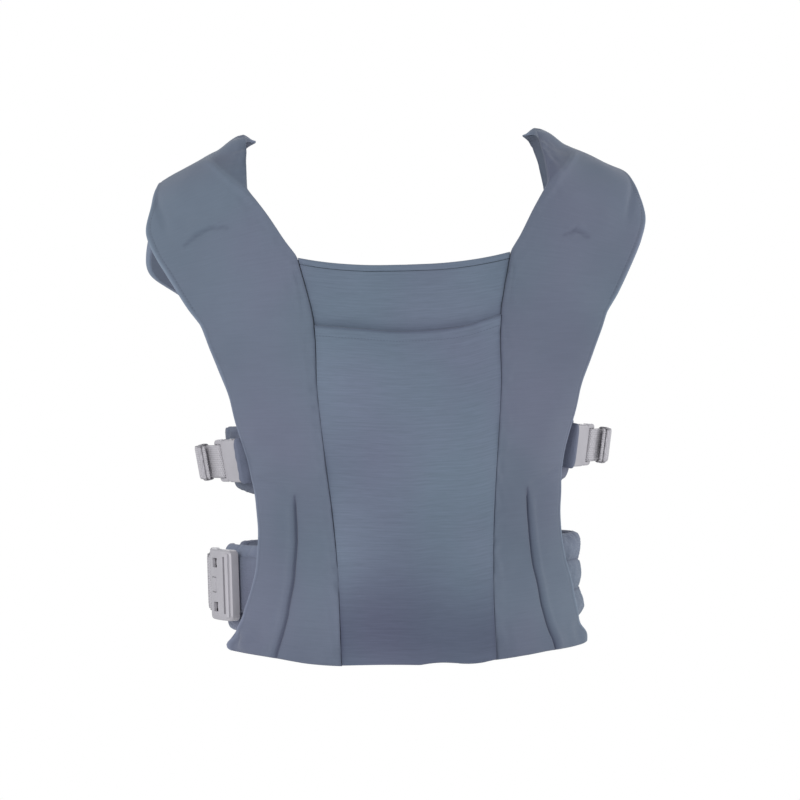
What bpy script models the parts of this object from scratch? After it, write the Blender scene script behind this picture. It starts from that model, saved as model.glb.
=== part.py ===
"""Soft baby carrier in the shape it takes when worn.  Metres, +Z up.

The wearer's torso axis is X = 0, Y = 0.  The front panel faces -Y, and Z = 0 is the lowest
point of its hem.  Left and right are as seen from the front: left is -X.
Each fabric piece is a slab between two offsets of a base surface, so stacked layers keep an
even gap.  Each buckle is modelled flat, in its own frame (t along the webbing, n outward,
k up), and then placed on the body, or wrapped round it in the case of the waist buckle.
"""
import math

import bmesh
import bpy
from mathutils import Vector

MM = 0.001
GAP = 0.4 * MM                     # between pieces that lie against each other
SEAM_GAP = 0.9 * MM                # each side of a seam that joins two fabric pieces

# ---- body shape -------------------------------------------------------------------------
CHEST_TOP = 0.300                  # height where the front starts to curve over the shoulder
SHOULDER_DEPTH = 0.118             # half depth of the body at CHEST_TOP
SHOULDER_WIDTH = 0.260             # half width of the ellipse that the shoulders follow
CREST_NECK = (0.120, 0.4705)        # x and z of the strap's crest at the neck side
CREST_SLOPE = 0.50                 # how fast the crest falls towards the arm

FRONT_WIDTH = [(0.0, 0.172), (0.06, 0.168), (0.13, 0.163), (0.18, 0.166), (0.24, 0.200),
               (0.30, 0.260)]
FRONT_DEPTH = [(0.0, 0.124), (0.06, 0.1225), (0.13, 0.121), (0.18, 0.121), (0.24, 0.120),
               (0.30, 0.118)]
TORSO_WIDTH = [(0.107, 0.151), (0.145, 0.1425), (0.18, 0.147), (0.215, 0.1535), (0.25, 0.185),
               (0.30, 0.260)]
TORSO_DEPTH = [(0.11, 0.105), (0.20, 0.105), (0.25, 0.112), (0.30, 0.118)]

# ---- outlines of the front, as (height, half width) or (half width, height) ---------------
OUTER_EDGE = [(0.018, 0.163), (0.034, 0.152), (0.060, 0.141), (0.085, 0.135), (0.111, 0.132),
              (0.135, 0.132), (0.164, 0.1345), (0.184, 0.1385), (0.216, 0.148),
              (0.239, 0.154), (0.262, 0.163), (0.281, 0.170), (0.300, 0.177)]
CENTRE_SEAM = [(0.0, 0.066), (0.106, 0.067), (0.239, 0.079), (0.300, 0.081), (0.357, 0.093)]
HEM = [(0.0, 0.0), (0.063, 0.002), (0.094, 0.003), (0.119, 0.008), (0.157, 0.018)]
NECKLINE = [(0.0, 0.348), (0.05, 0.349), (0.080, 0.352), (0.093, 0.357)]
CENTRE_HEM = [(0.0, 0.290), (0.045, 0.292), (0.081, 0.301)]

# ---- shoulder strap: angle over the shoulder (0 front, 90 crest, 180 back) and half width --
NECK_ANGLE = 18.8                  # where the strap's inner edge leaves the centre panel
STRAP_INNER = [(18.8, 0.0942), (33, 0.1125), (39.4, 0.121), (48, 0.1315), (76, 0.1315),
               (90, 0.127), (110, 0.138), (135, 0.148), (152, 0.131), (165, 0.106),
               (180, 0.080)]
STRAP_OUTER = [(0, 0.177), (8, 0.190), (21.6, 0.206), (32.8, 0.216), (44.4, 0.221),
               (58, 0.217), (70, 0.2145), (90, 0.209), (115, 0.213), (140, 0.226),
               (150, 0.228), (157, 0.220), (167, 0.192), (180, 0.155)]

# ---- layers -------------------------------------------------------------------------------
LINING = 1.2 * MM
PANEL_NEAR = 1.5 * MM              # inner face of the panels, measured from the base surface
INNER_PANEL_FAR = 4.4 * MM
OUTER_PANEL_FAR = 6.6 * MM
SIDE_PANEL_FAR = 6.2 * MM
STRAP_FAR = 9.0 * MM               # thickness of the padded strap
COVER = 1.5 * MM
CROSSING_LIFT = 10.2 * MM          # how far the left strap rises to pass over the right one
BINDING = 6.0 * MM                 # width of the neckline binding

BAND_LOW = 0.0275
BAND_HIGH = 0.1055
BAND_FAR = 13.0 * MM
BAND_LEFT_END = -98
BAND_SPLIT = 88
BAND_BACK_END = 250
WING_FAR = 10.0 * MM

# ---- webbing and buckles ------------------------------------------------------------------
WEB = 1.4 * MM                     # thickness of all webbing
WAIST_WEB = 50 * MM
SIDE_WEB = 30 * MM
WEB_LIFT = 2.4 * MM                # room between the strap webbing and the strap's cover
WEB_HEIGHT = 0.185                 # height of the strap webbing where it is sewn to the strap
WAIST_MID_HEIGHT = 0.0705
WAIST_ARC_CENTRE = Vector((-0.0690, 0.0013, WAIST_MID_HEIGHT))
WAIST_ARC_RADIUS = 0.0955          # the band's outer face, seen from WAIST_ARC_CENTRE
WAIST_ARC_START = 33               # degrees from -X towards -Y, the buckle's front end
WAIST_BEND_RADIUS = 0.1025         # where lengths along the bent buckle are true
BEND_STEP = 8 * MM
SIDE_LEAN = 10                     # degrees the side buckles lean out at the top


# ---- small tools ----------------------------------------------------------------------------
def curve(table, at):
    """Smooth value through (position, value) pairs, level beyond both ends."""
    if at <= table[0][0]:
        return table[0][1]
    if at >= table[-1][0]:
        return table[-1][1]
    i = next(k for k in range(len(table) - 1) if at <= table[k + 1][0])
    (x0, y0), (x1, y1) = table[i], table[i + 1]

    def slope(k):
        if k <= 0 or k >= len(table) - 1:
            a, b = (0, 1) if k <= 0 else (-2, -1)
        else:
            a, b = k - 1, k + 1
        return (table[b][1] - table[a][1]) / (table[b][0] - table[a][0])

    h = x1 - x0
    s = (at - x0) / h
    m0, m1 = slope(i) * h, slope(i + 1) * h
    return ((2 * s**3 - 3 * s**2 + 1) * y0 + (s**3 - 2 * s**2 + s) * m0
            + (3 * s**2 - 2 * s**3) * y1 + (s**3 - s**2) * m1)


def lerp(a, b, s):
    return a + (b - a) * s


def smooth(s):
    s = min(max(s, 0.0), 1.0)
    return s * s * (3 - 2 * s)


def material(name, colour, roughness, metallic=0.0):
    mat = bpy.data.materials.new(name)
    mat.use_nodes = True
    shader = mat.node_tree.nodes["Principled BSDF"]
    shader.inputs["Base Color"].default_value = (*colour, 1)
    shader.inputs["Roughness"].default_value = roughness
    shader.inputs["Metallic"].default_value = metallic
    return mat


def finish(name, mesh_data, mat, origin=(0, 0, 0)):
    """Make one object from a bmesh in world coordinates, with its origin at the given point."""
    bmesh.ops.recalc_face_normals(mesh_data, faces=mesh_data.faces)
    if mesh_data.calc_volume(signed=True) < 0:
        bmesh.ops.reverse_faces(mesh_data, faces=mesh_data.faces)
    bmesh.ops.translate(mesh_data, verts=mesh_data.verts, vec=-Vector(origin))
    mesh = bpy.data.meshes.new(name)
    mesh_data.to_mesh(mesh)
    mesh_data.free()
    mesh.shade_smooth()
    mesh.set_sharp_from_angle(angle=math.radians(35))
    mesh.materials.append(mat)
    obj = bpy.data.objects.new(name, mesh)
    obj.location = origin
    bpy.context.scene.collection.objects.link(obj)
    return obj


# ---- body surfaces --------------------------------------------------------------------------
def crest_height(x):
    return CREST_NECK[1] - CREST_SLOPE * (x - CREST_NECK[0])


def shoulder_point(x, angle):
    """Point of the shoulder surface at half width x, angle 0 in front and 180 at the back."""
    a = math.radians(angle)
    depth = SHOULDER_DEPTH * math.sqrt(1 - (x / SHOULDER_WIDTH) ** 2)
    rise = crest_height(x) - CHEST_TOP
    return Vector((x, -depth * math.cos(a), CHEST_TOP + rise * math.sin(a)))


def front_point(x, z):
    if z > CHEST_TOP:
        rise = (z - CHEST_TOP) / (crest_height(abs(x)) - CHEST_TOP)
        point = shoulder_point(abs(x), math.degrees(math.asin(rise)))
        return Vector((x, point.y, point.z))
    width = curve(FRONT_WIDTH, z)
    return Vector((x, -curve(FRONT_DEPTH, z) * math.sqrt(1 - (x / width) ** 2), z))


def back_point(x, z):
    width = curve(TORSO_WIDTH, z)
    return Vector((x, curve(TORSO_DEPTH, z) * math.sqrt(1 - (x / width) ** 2), z))


def torso_point(angle, z):
    """Point of the torso: angle 0 in front, 90 at +X, 180 at the back."""
    a = math.radians(angle)
    return Vector((curve(TORSO_WIDTH, z) * math.sin(a), -curve(TORSO_DEPTH, z) * math.cos(a), z))


def surface_normal(surface, u, v):
    e = 1e-4
    du = surface(u + e, v) - surface(u - e, v)
    dv = surface(u, v + e) - surface(u, v - e)
    return du.cross(dv).normalized()


def slab(name, surface, near, far, cells, mat, mirror=False):
    """Closed slab over surface(u, v), u and v from 0 to 1, between the offsets near and far."""
    across, along = cells
    side = -1 if mirror else 1
    data = bmesh.new()
    layers = []
    for offset in (near, far):
        rows = []
        for j in range(along + 1):
            row = []
            for i in range(across + 1):
                u, v = i / across, j / along
                shift = offset(u, v) if callable(offset) else offset
                p = surface(u, v) + surface_normal(surface, u, v) * shift
                row.append(data.verts.new((p.x * side, p.y, p.z)))
            rows.append(row)
        layers.append(rows)
    inner, outer = layers
    for j in range(along):
        for i in range(across):
            for rows in layers:
                data.faces.new((rows[j][i], rows[j][i + 1], rows[j + 1][i + 1], rows[j + 1][i]))
    rim = [(0, i, 0, i + 1) for i in range(across)]
    rim += [(along, i, along, i + 1) for i in range(across)]
    rim += [(j, 0, j + 1, 0) for j in range(along)]
    rim += [(j, across, j + 1, across) for j in range(along)]
    for j0, i0, j1, i1 in rim:
        data.faces.new((inner[j0][i0], inner[j1][i1], outer[j1][i1], outer[j0][i0]))
    return finish(name, data, mat)


# ---- fabric ---------------------------------------------------------------------------------
def centre_surface(low, high):
    """Centre panel surface between two height functions of half width, u across, v up."""
    def surface(u, v):
        s = 2 * u - 1
        z = 0.0
        for _ in range(3):         # the seam leans, so width and height settle together
            x = s * (curve(CENTRE_SEAM, z) - SEAM_GAP)
            z = lerp(low(abs(x)), high(abs(x)), v)
        return front_point(x, z)
    return surface


def side_surface(u, v):
    """Side panel from hem to chest, u from the centre seam out, v up (right side)."""
    z_in = lerp(0.002, CHEST_TOP - SEAM_GAP, v)
    z_out = lerp(0.018, CHEST_TOP - SEAM_GAP, v)
    x = lerp(curve(CENTRE_SEAM, z_in) + SEAM_GAP, curve(OUTER_EDGE, z_out), u)
    return front_point(x, lerp(curve(HEM, x), CHEST_TOP - SEAM_GAP, v))


def strap_inner(angle):
    """Half width of the strap's inner edge, along the centre seam up to the neckline."""
    if angle > NECK_ANGLE:
        return curve(STRAP_INNER, angle)
    x = 0.087
    for _ in range(4):
        x = curve(CENTRE_SEAM, shoulder_point(x, angle).z) + SEAM_GAP
    return x


def shoulder_surface(u, v):
    """Strap over the shoulder, u from the neck side out, v from the chest to the back."""
    angle = 180 * v
    x = lerp(strap_inner(angle), curve(STRAP_OUTER, angle), u)
    return shoulder_point(x, angle)


def strap_far(v):
    """Outer offset of the shoulder strap: panel thickness in front, full padding on top."""
    return lerp(SIDE_PANEL_FAR, STRAP_FAR, smooth(v * 3))


# back of the right strap as (upper edge, lower edge); it crosses to the left side
BACK_RIBS = [
    (back_point(0.080, 0.300), back_point(0.155, 0.300)),
    (back_point(0.046, 0.280), back_point(0.112, 0.232)),
    (back_point(-0.010, 0.256), back_point(0.010, 0.192)),
    (back_point(-0.074, 0.233), back_point(-0.066, 0.171)),
    (torso_point(228, 0.219), torso_point(226, 0.165)),
    (torso_point(250, 0.208), torso_point(250, 0.162)),
]


def rail(points, s):
    """Catmull-Rom point at s from 0 to 1 along a list of points."""
    n = len(points) - 1
    k = min(int(s * n), n - 1)
    k = max(k, 0)
    f = s * n - k
    p1, p2 = points[k], points[k + 1]
    p0 = points[k - 1] if k > 0 else p1 * 2 - p2
    p3 = points[k + 2] if k + 2 <= n else p2 * 2 - p1
    return 0.5 * (2 * p1 + (p2 - p0) * f + (2 * p0 - 5 * p1 + 4 * p2 - p3) * f**2
                  + (3 * p1 - p0 - 3 * p2 + p3) * f**3)


def on_torso(point):
    """Push a point out to the torso's surface, along the line from the torso's axis."""
    width, depth = curve(TORSO_WIDTH, point.z), curve(TORSO_DEPTH, point.z)
    scale = 1 / math.hypot(point.x / width, point.y / depth)
    return Vector((point.x * scale, point.y * scale, point.z))


def back_surface(u, v):
    upper = rail([rib[0] for rib in BACK_RIBS], v)
    lower = rail([rib[1] for rib in BACK_RIBS], v)
    return on_torso(upper.lerp(lower, u))


def crossing_lift(v):
    return CROSSING_LIFT * smooth(v * 10) * smooth((0.89 - v) * 9)


def torso_patch(start, end, low, high):
    """Part of the torso surface, u down from high to low, v round from start to end."""
    def surface(u, v):
        return torso_point(lerp(start, end, v), lerp(high, low, u))
    return surface


def wing_surface(u, v):
    """Side wing: starts under the panel edge, ends at the side with rounded corners."""
    angle = lerp(46, 97, v)
    round_off = 0.012 * max(0.0, (v - 0.8) / 0.2) ** 2
    high = 0.213 - round_off
    low = lerp(0.144, 0.160, v) + round_off
    return torso_point(angle, lerp(high, low, u))


def make_front(fabric, lining):
    hem = lambda x: curve(HEM, x)
    top = lambda x: curve(NECKLINE, x) - BINDING
    slab("centre_lining", centre_surface(hem, top), 0, LINING, (8, 10), lining)
    slab("inner_centre_panel", centre_surface(hem, top), PANEL_NEAR, INNER_PANEL_FAR, (8, 10),
         fabric)
    slab("outer_centre_panel", centre_surface(hem, lambda x: curve(CENTRE_HEM, x)),
         INNER_PANEL_FAR + GAP, OUTER_PANEL_FAR, (8, 10), fabric)
    slab("neckline_binding",
         centre_surface(lambda x: top(x) + SEAM_GAP, lambda x: curve(NECKLINE, x)),
         0, INNER_PANEL_FAR + GAP, (10, 1), fabric)
    for side, mirror in (("left", True), ("right", False)):
        slab(side + "_side_lining", side_surface, 0, LINING, (5, 11), lining, mirror)
        slab(side + "_side_panel", side_surface, PANEL_NEAR, SIDE_PANEL_FAR, (5, 11), fabric,
             mirror)


def make_straps(fabric, lining, foam):
    over, cross = (4, 14), (4, 18)
    for side, mirror in (("left", True), ("right", False)):
        lift = crossing_lift if mirror else (lambda v: 0.0)
        slab(side + "_shoulder_lining", shoulder_surface, 0, LINING, over, lining, mirror)
        slab(side + "_shoulder_foam", shoulder_surface, PANEL_NEAR,
             lambda u, v: strap_far(v) - COVER - GAP, over, foam, mirror)
        slab(side + "_shoulder_cover", shoulder_surface, lambda u, v: strap_far(v) - COVER,
             lambda u, v: strap_far(v), over, fabric, mirror)

        def layer(offset, lift=lift):
            return lambda u, v: offset + lift(v)

        def back(u, v):
            return back_surface(u, lerp(0.004, 1, v))

        slab(side + "_back_lining", back, layer(0), layer(LINING), cross, lining, mirror)
        slab(side + "_back_foam", back, layer(PANEL_NEAR), layer(STRAP_FAR - COVER - GAP), cross,
             foam, mirror)
        slab(side + "_back_cover", back, layer(STRAP_FAR - COVER), layer(STRAP_FAR), cross,
             fabric, mirror)
        slab(side + "_side_wing", wing_surface, 0, WING_FAR, (4, 6), fabric, mirror)


def make_waistband(fabric, lining, foam):
    for part, start, end in (("front", BAND_LEFT_END, BAND_SPLIT),
                             ("back", BAND_SPLIT + 0.4, BAND_BACK_END)):
        band = torso_patch(start, end, BAND_LOW, BAND_HIGH)
        cells = (2, 24)
        name = "waistband_" + part
        slab(name + "_lining", band, 0, LINING, cells, lining)
        slab(name + "_foam", band, PANEL_NEAR, BAND_FAR - COVER - GAP, cells, foam)
        slab(name + "_cover", band, BAND_FAR - COVER, BAND_FAR, cells, fabric)
    slab("care_label", torso_patch(150, 160, 0.045, 0.077), -0.8 * MM, -0.4 * MM, (1, 2), lining)


# ---- frames of the buckles --------------------------------------------------------------------
def side_frame(x, y, z, yaw, mirror):
    """Map (t, n, k) of a side buckle to the world.  t runs backwards round the body."""
    a, lean = math.radians(yaw), math.radians(SIDE_LEAN)
    side = 1 if mirror else -1     # the frame is built on the left and mirrored to the right
    t_axis = Vector((-math.sin(a) * side, math.cos(a), 0))
    n_flat = Vector((-math.cos(a) * side, -math.sin(a), 0))
    up = Vector((0, 0, 1))
    n_axis = n_flat * math.cos(lean) - up * math.sin(lean)
    k_axis = up * math.cos(lean) + n_flat * math.sin(lean)
    start = Vector((x, y, z))

    def place(t, n, k):
        return start + t_axis * t + n_axis * n + k_axis * k
    place.n_axis = n_axis
    return place


def waist_frame(t, n, k):
    """Map (t, n, k) of the waist buckle to the world, wrapped round the body."""
    a = math.radians(WAIST_ARC_START) - t / WAIST_BEND_RADIUS
    r = WAIST_ARC_RADIUS + n
    return WAIST_ARC_CENTRE + Vector((-r * math.cos(a), -r * math.sin(a), k))


# ---- moulded pieces -----------------------------------------------------------------------------
def rounded_plate(t0, t1, width, n0, n1, corner, edge=0.0):
    """Plate with round corners, lying in t and k, with an optional bevel all round."""
    data = bmesh.new()
    half = width / 2
    centres = ((t1 - corner, half - corner, 0), (t0 + corner, half - corner, 90),
               (t0 + corner, corner - half, 180), (t1 - corner, corner - half, 270))
    ring = []
    for ct, ck, start in centres:
        for step in range(4):
            a = math.radians(start + 30 * step)
            ring.append(data.verts.new((ct + corner * math.cos(a), n0,
                                        ck + corner * math.sin(a))))
    base = data.faces.new(ring)
    top = bmesh.ops.extrude_face_region(data, geom=[base])
    verts = [v for v in top["geom"] if isinstance(v, bmesh.types.BMVert)]
    bmesh.ops.translate(data, verts=verts, vec=(0, n1 - n0, 0))
    bmesh.ops.recalc_face_normals(data, faces=data.faces)
    if edge:
        rims = [e for e in data.edges
                if abs(e.verts[0].co.y - e.verts[1].co.y) < 1e-6 and e.calc_face_angle(0) > 1]
        bmesh.ops.bevel(data, geom=rims, offset=edge, segments=1, affect="EDGES")
    return data


def box(t0, t1, n0, n1, k0, k1):
    data = bmesh.new()
    bmesh.ops.create_cube(data, size=1.0)
    bmesh.ops.scale(data, verts=data.verts, vec=(t1 - t0, n1 - n0, k1 - k0))
    bmesh.ops.translate(data, verts=data.verts,
                        vec=((t0 + t1) / 2, (n0 + n1) / 2, (k0 + k1) / 2))
    return data


def combine(base, added=(), cut=()):
    """Unite and cut flat shapes with exact Booleans and return the result as a bmesh."""
    def as_object(data):
        mesh = bpy.data.meshes.new("shape")
        data.to_mesh(mesh)
        data.free()
        obj = bpy.data.objects.new("shape", mesh)
        bpy.context.scene.collection.objects.link(obj)
        return obj

    body = as_object(base)
    tools = [(as_object(d), "UNION") for d in added] + [(as_object(d), "DIFFERENCE") for d in cut]
    for tool, operation in tools:
        step = body.modifiers.new(operation.title(), "BOOLEAN")
        step.operation = operation
        step.object = tool
    bpy.context.view_layer.update()
    evaluated = body.evaluated_get(bpy.context.evaluated_depsgraph_get())
    result = bmesh.new()
    result.from_mesh(evaluated.to_mesh())
    evaluated.to_mesh_clear()
    for obj in [body] + [tool for tool, _ in tools]:
        mesh = obj.data
        bpy.data.objects.remove(obj)
        bpy.data.meshes.remove(mesh)
    return result


def moulded(name, data, place, mat, origin=(0, 0, 0), bend=False):
    """Place a flat (t, n, k) shape on the body, sliced first where it has to bend."""
    if bend:
        ends = [v.co.x for v in data.verts]
        t = math.ceil(min(ends) / BEND_STEP) * BEND_STEP
        while t < max(ends):
            geom = list(data.verts) + list(data.edges) + list(data.faces)
            bmesh.ops.bisect_plane(data, geom=geom, plane_co=(t, 0, 0), plane_no=(1, 0, 0),
                                   dist=1e-6)
            t += BEND_STEP
        bmesh.ops.triangulate(data, faces=[f for f in data.faces if len(f.verts) > 4])
    for v in data.verts:
        v.co = place(*v.co)
    return finish(name, data, mat, origin)


def ribbon(name, path, width, place, mat, origin=(0, 0, 0)):
    """Webbing of constant thickness along a (t, n) path, width across k."""
    data = bmesh.new()
    sections = []
    points = [Vector(p) for p in path]
    for i, p in enumerate(points):
        before, after = points[max(i - 1, 0)], points[min(i + 1, len(points) - 1)]
        along = (after - before).normalized()
        off = Vector((-along.y, along.x)) * (WEB / 2)
        ring = [place(q.x, q.y, k) for q, k in ((p - off, -width / 2), (p + off, -width / 2),
                                                (p + off, width / 2), (p - off, width / 2))]
        sections.append([data.verts.new(q) for q in ring])
    for a, b in zip(sections, sections[1:]):
        for i in range(4):
            j = (i + 1) % 4
            data.faces.new((a[i], a[j], b[j], b[i]))
    data.faces.new(sections[0])
    data.faces.new(sections[-1])
    return finish(name, data, mat, origin)


def folded_tail(start, rise, back, end, reach):
    """Path of a free webbing end: up through the slot, back over the bar, folded once."""
    low, top, fold = start[1], rise, rise + 5 * MM
    path = [start, (start[0], lerp(low, top, 0.7)), (start[0] + 0.6 * MM, top - 0.7 * MM),
            (start[0] + 2 * MM, top), (lerp(start[0], end, 0.5), top), (end - 2 * MM, top)]
    mid, r = (top + fold) / 2, (fold - top) / 2
    path += [(end - 2 * MM + r * math.sin(a), mid - r * math.cos(a))
             for a in (math.radians(d) for d in (36, 72, 108, 144))]
    path += [(end - 2 * MM, fold), (lerp(back, end, 0.5), fold), (reach, fold)]
    return path


def keeper_loop(name, t0, t1, n0, n1, width, place, mat, origin=(0, 0, 0), bend=False):
    wall = 1.0 * MM
    half = width / 2
    hoop = combine(box(t0, t1, n0 - wall, n1 + wall, -half - wall, half + wall),
                   cut=[box(t0 - MM, t1 + MM, n0, n1, -half, half)])
    return moulded(name, hoop, place, mat, origin, bend)


# ---- side-release buckles -------------------------------------------------------------------
def side_buckle(side, place, plastic, webbing, elastic):
    """Side-release buckle for 30 mm webbing; t = 0 is its front end, n = 0 its inner face."""
    width, wall, hollow = 38 * MM, 15.8 * MM, (2.3 * MM, 6.9 * MM)
    female = combine(
        rounded_plate(-1 * MM, 22 * MM, width, 0, 9 * MM, 4 * MM, 1.1 * MM),
        cut=[box(1.4 * MM, 30 * MM, *hollow, -wall, wall),
             box(1.4 * MM, 11 * MM, *hollow, -30 * MM, 30 * MM)])
    moulded(side + "_female", female, place, plastic)

    male = combine(
        rounded_plate(22.4 * MM, 37 * MM, width, 0.6 * MM, 7.4 * MM, 3 * MM, 1.0 * MM),
        added=[box(9 * MM, 24 * MM, 2.9 * MM, 6.3 * MM, -3.5 * MM, 3.5 * MM)],
        cut=[box(26.2 * MM, 29.2 * MM, -MM, 9 * MM, -15.4 * MM, 15.4 * MM),
             box(32 * MM, 34.6 * MM, -MM, 9 * MM, -15.4 * MM, 15.4 * MM),
             box(20 * MM, 24.6 * MM, 2.3 * MM, 6.9 * MM, 10.4 * MM, 15.6 * MM),
             box(20 * MM, 24.6 * MM, 2.3 * MM, 6.9 * MM, -15.6 * MM, -10.4 * MM)])
    moulded(side + "_male", male, place, plastic)

    for name, sign in (("_arm_upper", 1), ("_arm_lower", -1)):
        k0, k1 = sorted((11.4 * MM * sign, 14.6 * MM * sign))
        b0, b1 = sorted((11.4 * MM * sign, 18.0 * MM * sign))
        arm = combine(box(2.4 * MM, 24.2 * MM, 2.8 * MM, 6.4 * MM, k0, k1),
                      added=[box(2.0 * MM, 9.6 * MM, 2.8 * MM, 6.4 * MM, b0, b1)])
        moulded(side + name, arm, place, plastic, place(23.6 * MM, 4.6 * MM, 13 * MM * sign))

    tail = folded_tail((27.6 * MM, 2.0 * MM), 8.6 * MM, 47 * MM, 60 * MM, 43 * MM)
    ribbon(side + "_webbing_tail", tail, SIDE_WEB, place, webbing)
    keeper_loop(side + "_keeper", 47 * MM, 52 * MM, 7.4 * MM, 14.8 * MM, SIDE_WEB + MM, place,
                elastic)


def strap_webbing(side, place, mirror, webbing):
    """Webbing from under the male half, in an arc, onto the end of the back strap."""
    flip = Vector((1 if mirror else -1, 1, 1))

    def strap_end(v):
        # the strap that ends on this side, a little outside its cover
        upper, lower = (rib.z for rib in BACK_RIBS[-1])
        u = (upper - WEB_HEIGHT) / (upper - lower)
        p = back_surface(u, v)
        n = surface_normal(back_surface, u, v)
        return (p + n * (STRAP_FAR + WEB_LIFT + WEB / 2)) * flip, n * flip

    n_axis = place.n_axis
    sewn = [strap_end(v) for v in (0.98, 0.95, 0.92, 0.89)]
    start, leave = place(38 * MM, -1.1 * MM, 0), place(52 * MM, -1.1 * MM, 0)
    arrive = sewn[0][0] + (sewn[0][0] - sewn[1][0]).normalized() * 25 * MM
    path = [(place(t * MM, -1.1 * MM, 0), n_axis) for t in (24, 31, 38)]
    for s in (0.2, 0.4, 0.6, 0.8):
        point = (start * (1 - s)**3 + leave * 3 * s * (1 - s)**2 + arrive * 3 * s * s * (1 - s)
                 + sewn[0][0] * s**3)
        path.append((point, n_axis.lerp(sewn[0][1], s)))
    path += sewn
    data = bmesh.new()
    sections = []
    for i, (p, normal) in enumerate(path):
        before, after = path[max(i - 1, 0)][0], path[min(i + 1, len(path) - 1)][0]
        along = (after - before).normalized()
        across = along.cross(normal).normalized() * (SIDE_WEB / 2)
        if across.z < 0:
            across = -across
        off = along.cross(across).normalized() * (WEB / 2)
        sections.append([data.verts.new(q) for q in (p - across - off, p - across + off,
                                                     p + across + off, p + across - off)])
    for a, b in zip(sections, sections[1:]):
        for i in range(4):
            j = (i + 1) % 4
            data.faces.new((a[i], a[j], b[j], b[i]))
    data.faces.new(sections[0])
    data.faces.new(sections[-1])
    finish(side + "_strap_webbing", data, webbing)


# ---- waist buckle -----------------------------------------------------------------------------
def waist_buckle(plastic, webbing, elastic):
    """50 mm three-point buckle, bent to the waist; t = 0 is its front end."""
    place = waist_frame
    width, wall, hollow = 63 * MM, 26 * MM, (5.3 * MM, 9.7 * MM)
    low, high = 2.6 * MM, 12.4 * MM
    female = combine(
        rounded_plate(0, 50 * MM, width, low, high, 5 * MM, 1.2 * MM),
        added=[box(3 * MM, 8 * MM, high - 0.5 * MM, high + 1.2 * MM, -28 * MM, 28 * MM)],
        cut=[box(18 * MM, 60 * MM, *hollow, -wall, wall),
             box(24 * MM, 38 * MM, *hollow, -40 * MM, 40 * MM),
             box(9 * MM, 13 * MM, 0, 20 * MM, -25.4 * MM, 25.4 * MM),
             box(28 * MM, 40 * MM, 8 * MM, 20 * MM, -7 * MM, 7 * MM),
             box(25 * MM, 37 * MM, 8 * MM, 20 * MM, 15.5 * MM, 24 * MM),
             box(25 * MM, 37 * MM, 8 * MM, 20 * MM, -24 * MM, -15.5 * MM)])
    moulded("waist_female", female, place, plastic, bend=True)
    button = rounded_plate(28.5 * MM, 39.5 * MM, 13 * MM, 10.1 * MM, 12.8 * MM, 2 * MM, 0.6 * MM)
    moulded("waist_button", button, place, plastic, place(34 * MM, 10.1 * MM, 0))

    axle = WAIST_ARC_CENTRE
    male = combine(
        rounded_plate(50.4 * MM, 78 * MM, width, 3.0 * MM, 11.4 * MM, 6 * MM, 1.2 * MM),
        added=[box(26 * MM, 54 * MM, 5.8 * MM, 8.2 * MM, -6 * MM, 6 * MM)],
        cut=[box(60 * MM, 64 * MM, 0, 20 * MM, -25.4 * MM, 25.4 * MM),
             box(68.5 * MM, 72 * MM, 0, 20 * MM, -25.4 * MM, 25.4 * MM),
             box(45 * MM, 53.4 * MM, 5.3 * MM, 20 * MM, 16.4 * MM, 22.6 * MM),
             box(45 * MM, 53.4 * MM, 5.3 * MM, 20 * MM, -22.6 * MM, -16.4 * MM)])
    moulded("waist_male", male, place, plastic, axle, bend=True)

    for name, sign in (("waist_arm_upper", 1), ("waist_arm_lower", -1)):
        k0, k1 = sorted((17.4 * MM * sign, 21.6 * MM * sign))
        b0, b1 = sorted((17.4 * MM * sign, 29.4 * MM * sign))
        arm = combine(box(25 * MM, 53 * MM, 5.8 * MM, 9.2 * MM, k0, k1),
                      added=[box(24.8 * MM, 33 * MM, 5.8 * MM, 9.2 * MM, b0, b1)])
        moulded(name, arm, place, plastic, place(52 * MM, 7.5 * MM, 19.5 * MM * sign), bend=True)

    tail = folded_tail((62 * MM, 4.4 * MM), 12.6 * MM, 94 * MM, 116 * MM, 88 * MM)
    straight = [(t * MM, 12.6 * MM) for t in (72, 80, 88, 96, 104)]
    fold_back = [(t * MM, 17.6 * MM) for t in (108, 101, 94)]
    tail = tail[:4] + straight + tail[5:11] + fold_back + tail[-1:]
    ribbon("waist_tail", tail, WAIST_WEB, place, webbing, axle)
    keeper_loop("waist_keeper", 98 * MM, 104 * MM, 11.2 * MM, 19.0 * MM, WAIST_WEB + MM, place,
                elastic, axle, bend=True)

    half = WAIST_WEB / 2
    low, high = WAIST_MID_HEIGHT - half, WAIST_MID_HEIGHT + half
    near, far = BAND_FAR + GAP, BAND_FAR + GAP + WEB
    slab("waist_female_webbing", torso_patch(-79, -62, low, high), near, far, (1, 3), webbing)
    slab("waist_belt", torso_patch(112, 275, low, high), near, far, (1, 26), webbing)


def main():
    for obj in list(bpy.data.objects):
        bpy.data.objects.remove(obj)
    fabric = material("slate_blue_knit", (0.145, 0.178, 0.246), 0.85)
    lining = material("lining", (0.17, 0.20, 0.27), 0.8)
    foam = material("foam", (0.75, 0.75, 0.72), 0.9)
    plastic = material("grey_plastic", (0.42, 0.40, 0.43), 0.45)
    webbing = material("grey_webbing", (0.40, 0.39, 0.42), 0.75)
    elastic = material("elastic", (0.30, 0.30, 0.33), 0.8)

    make_front(fabric, lining)
    make_straps(fabric, lining, foam)
    make_waistband(fabric, lining, foam)
    waist_buckle(plastic, webbing, elastic)
    left = side_frame(-0.1426, -0.0668, 0.1825, 31.3, True)
    right = side_frame(0.1456, -0.0555, 0.1855, 35.0, False)
    for side, place, mirror in (("left", left, True), ("right", right, False)):
        side_buckle(side, place, plastic, webbing, elastic)
        strap_webbing(side, place, mirror, webbing)


main()
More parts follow.
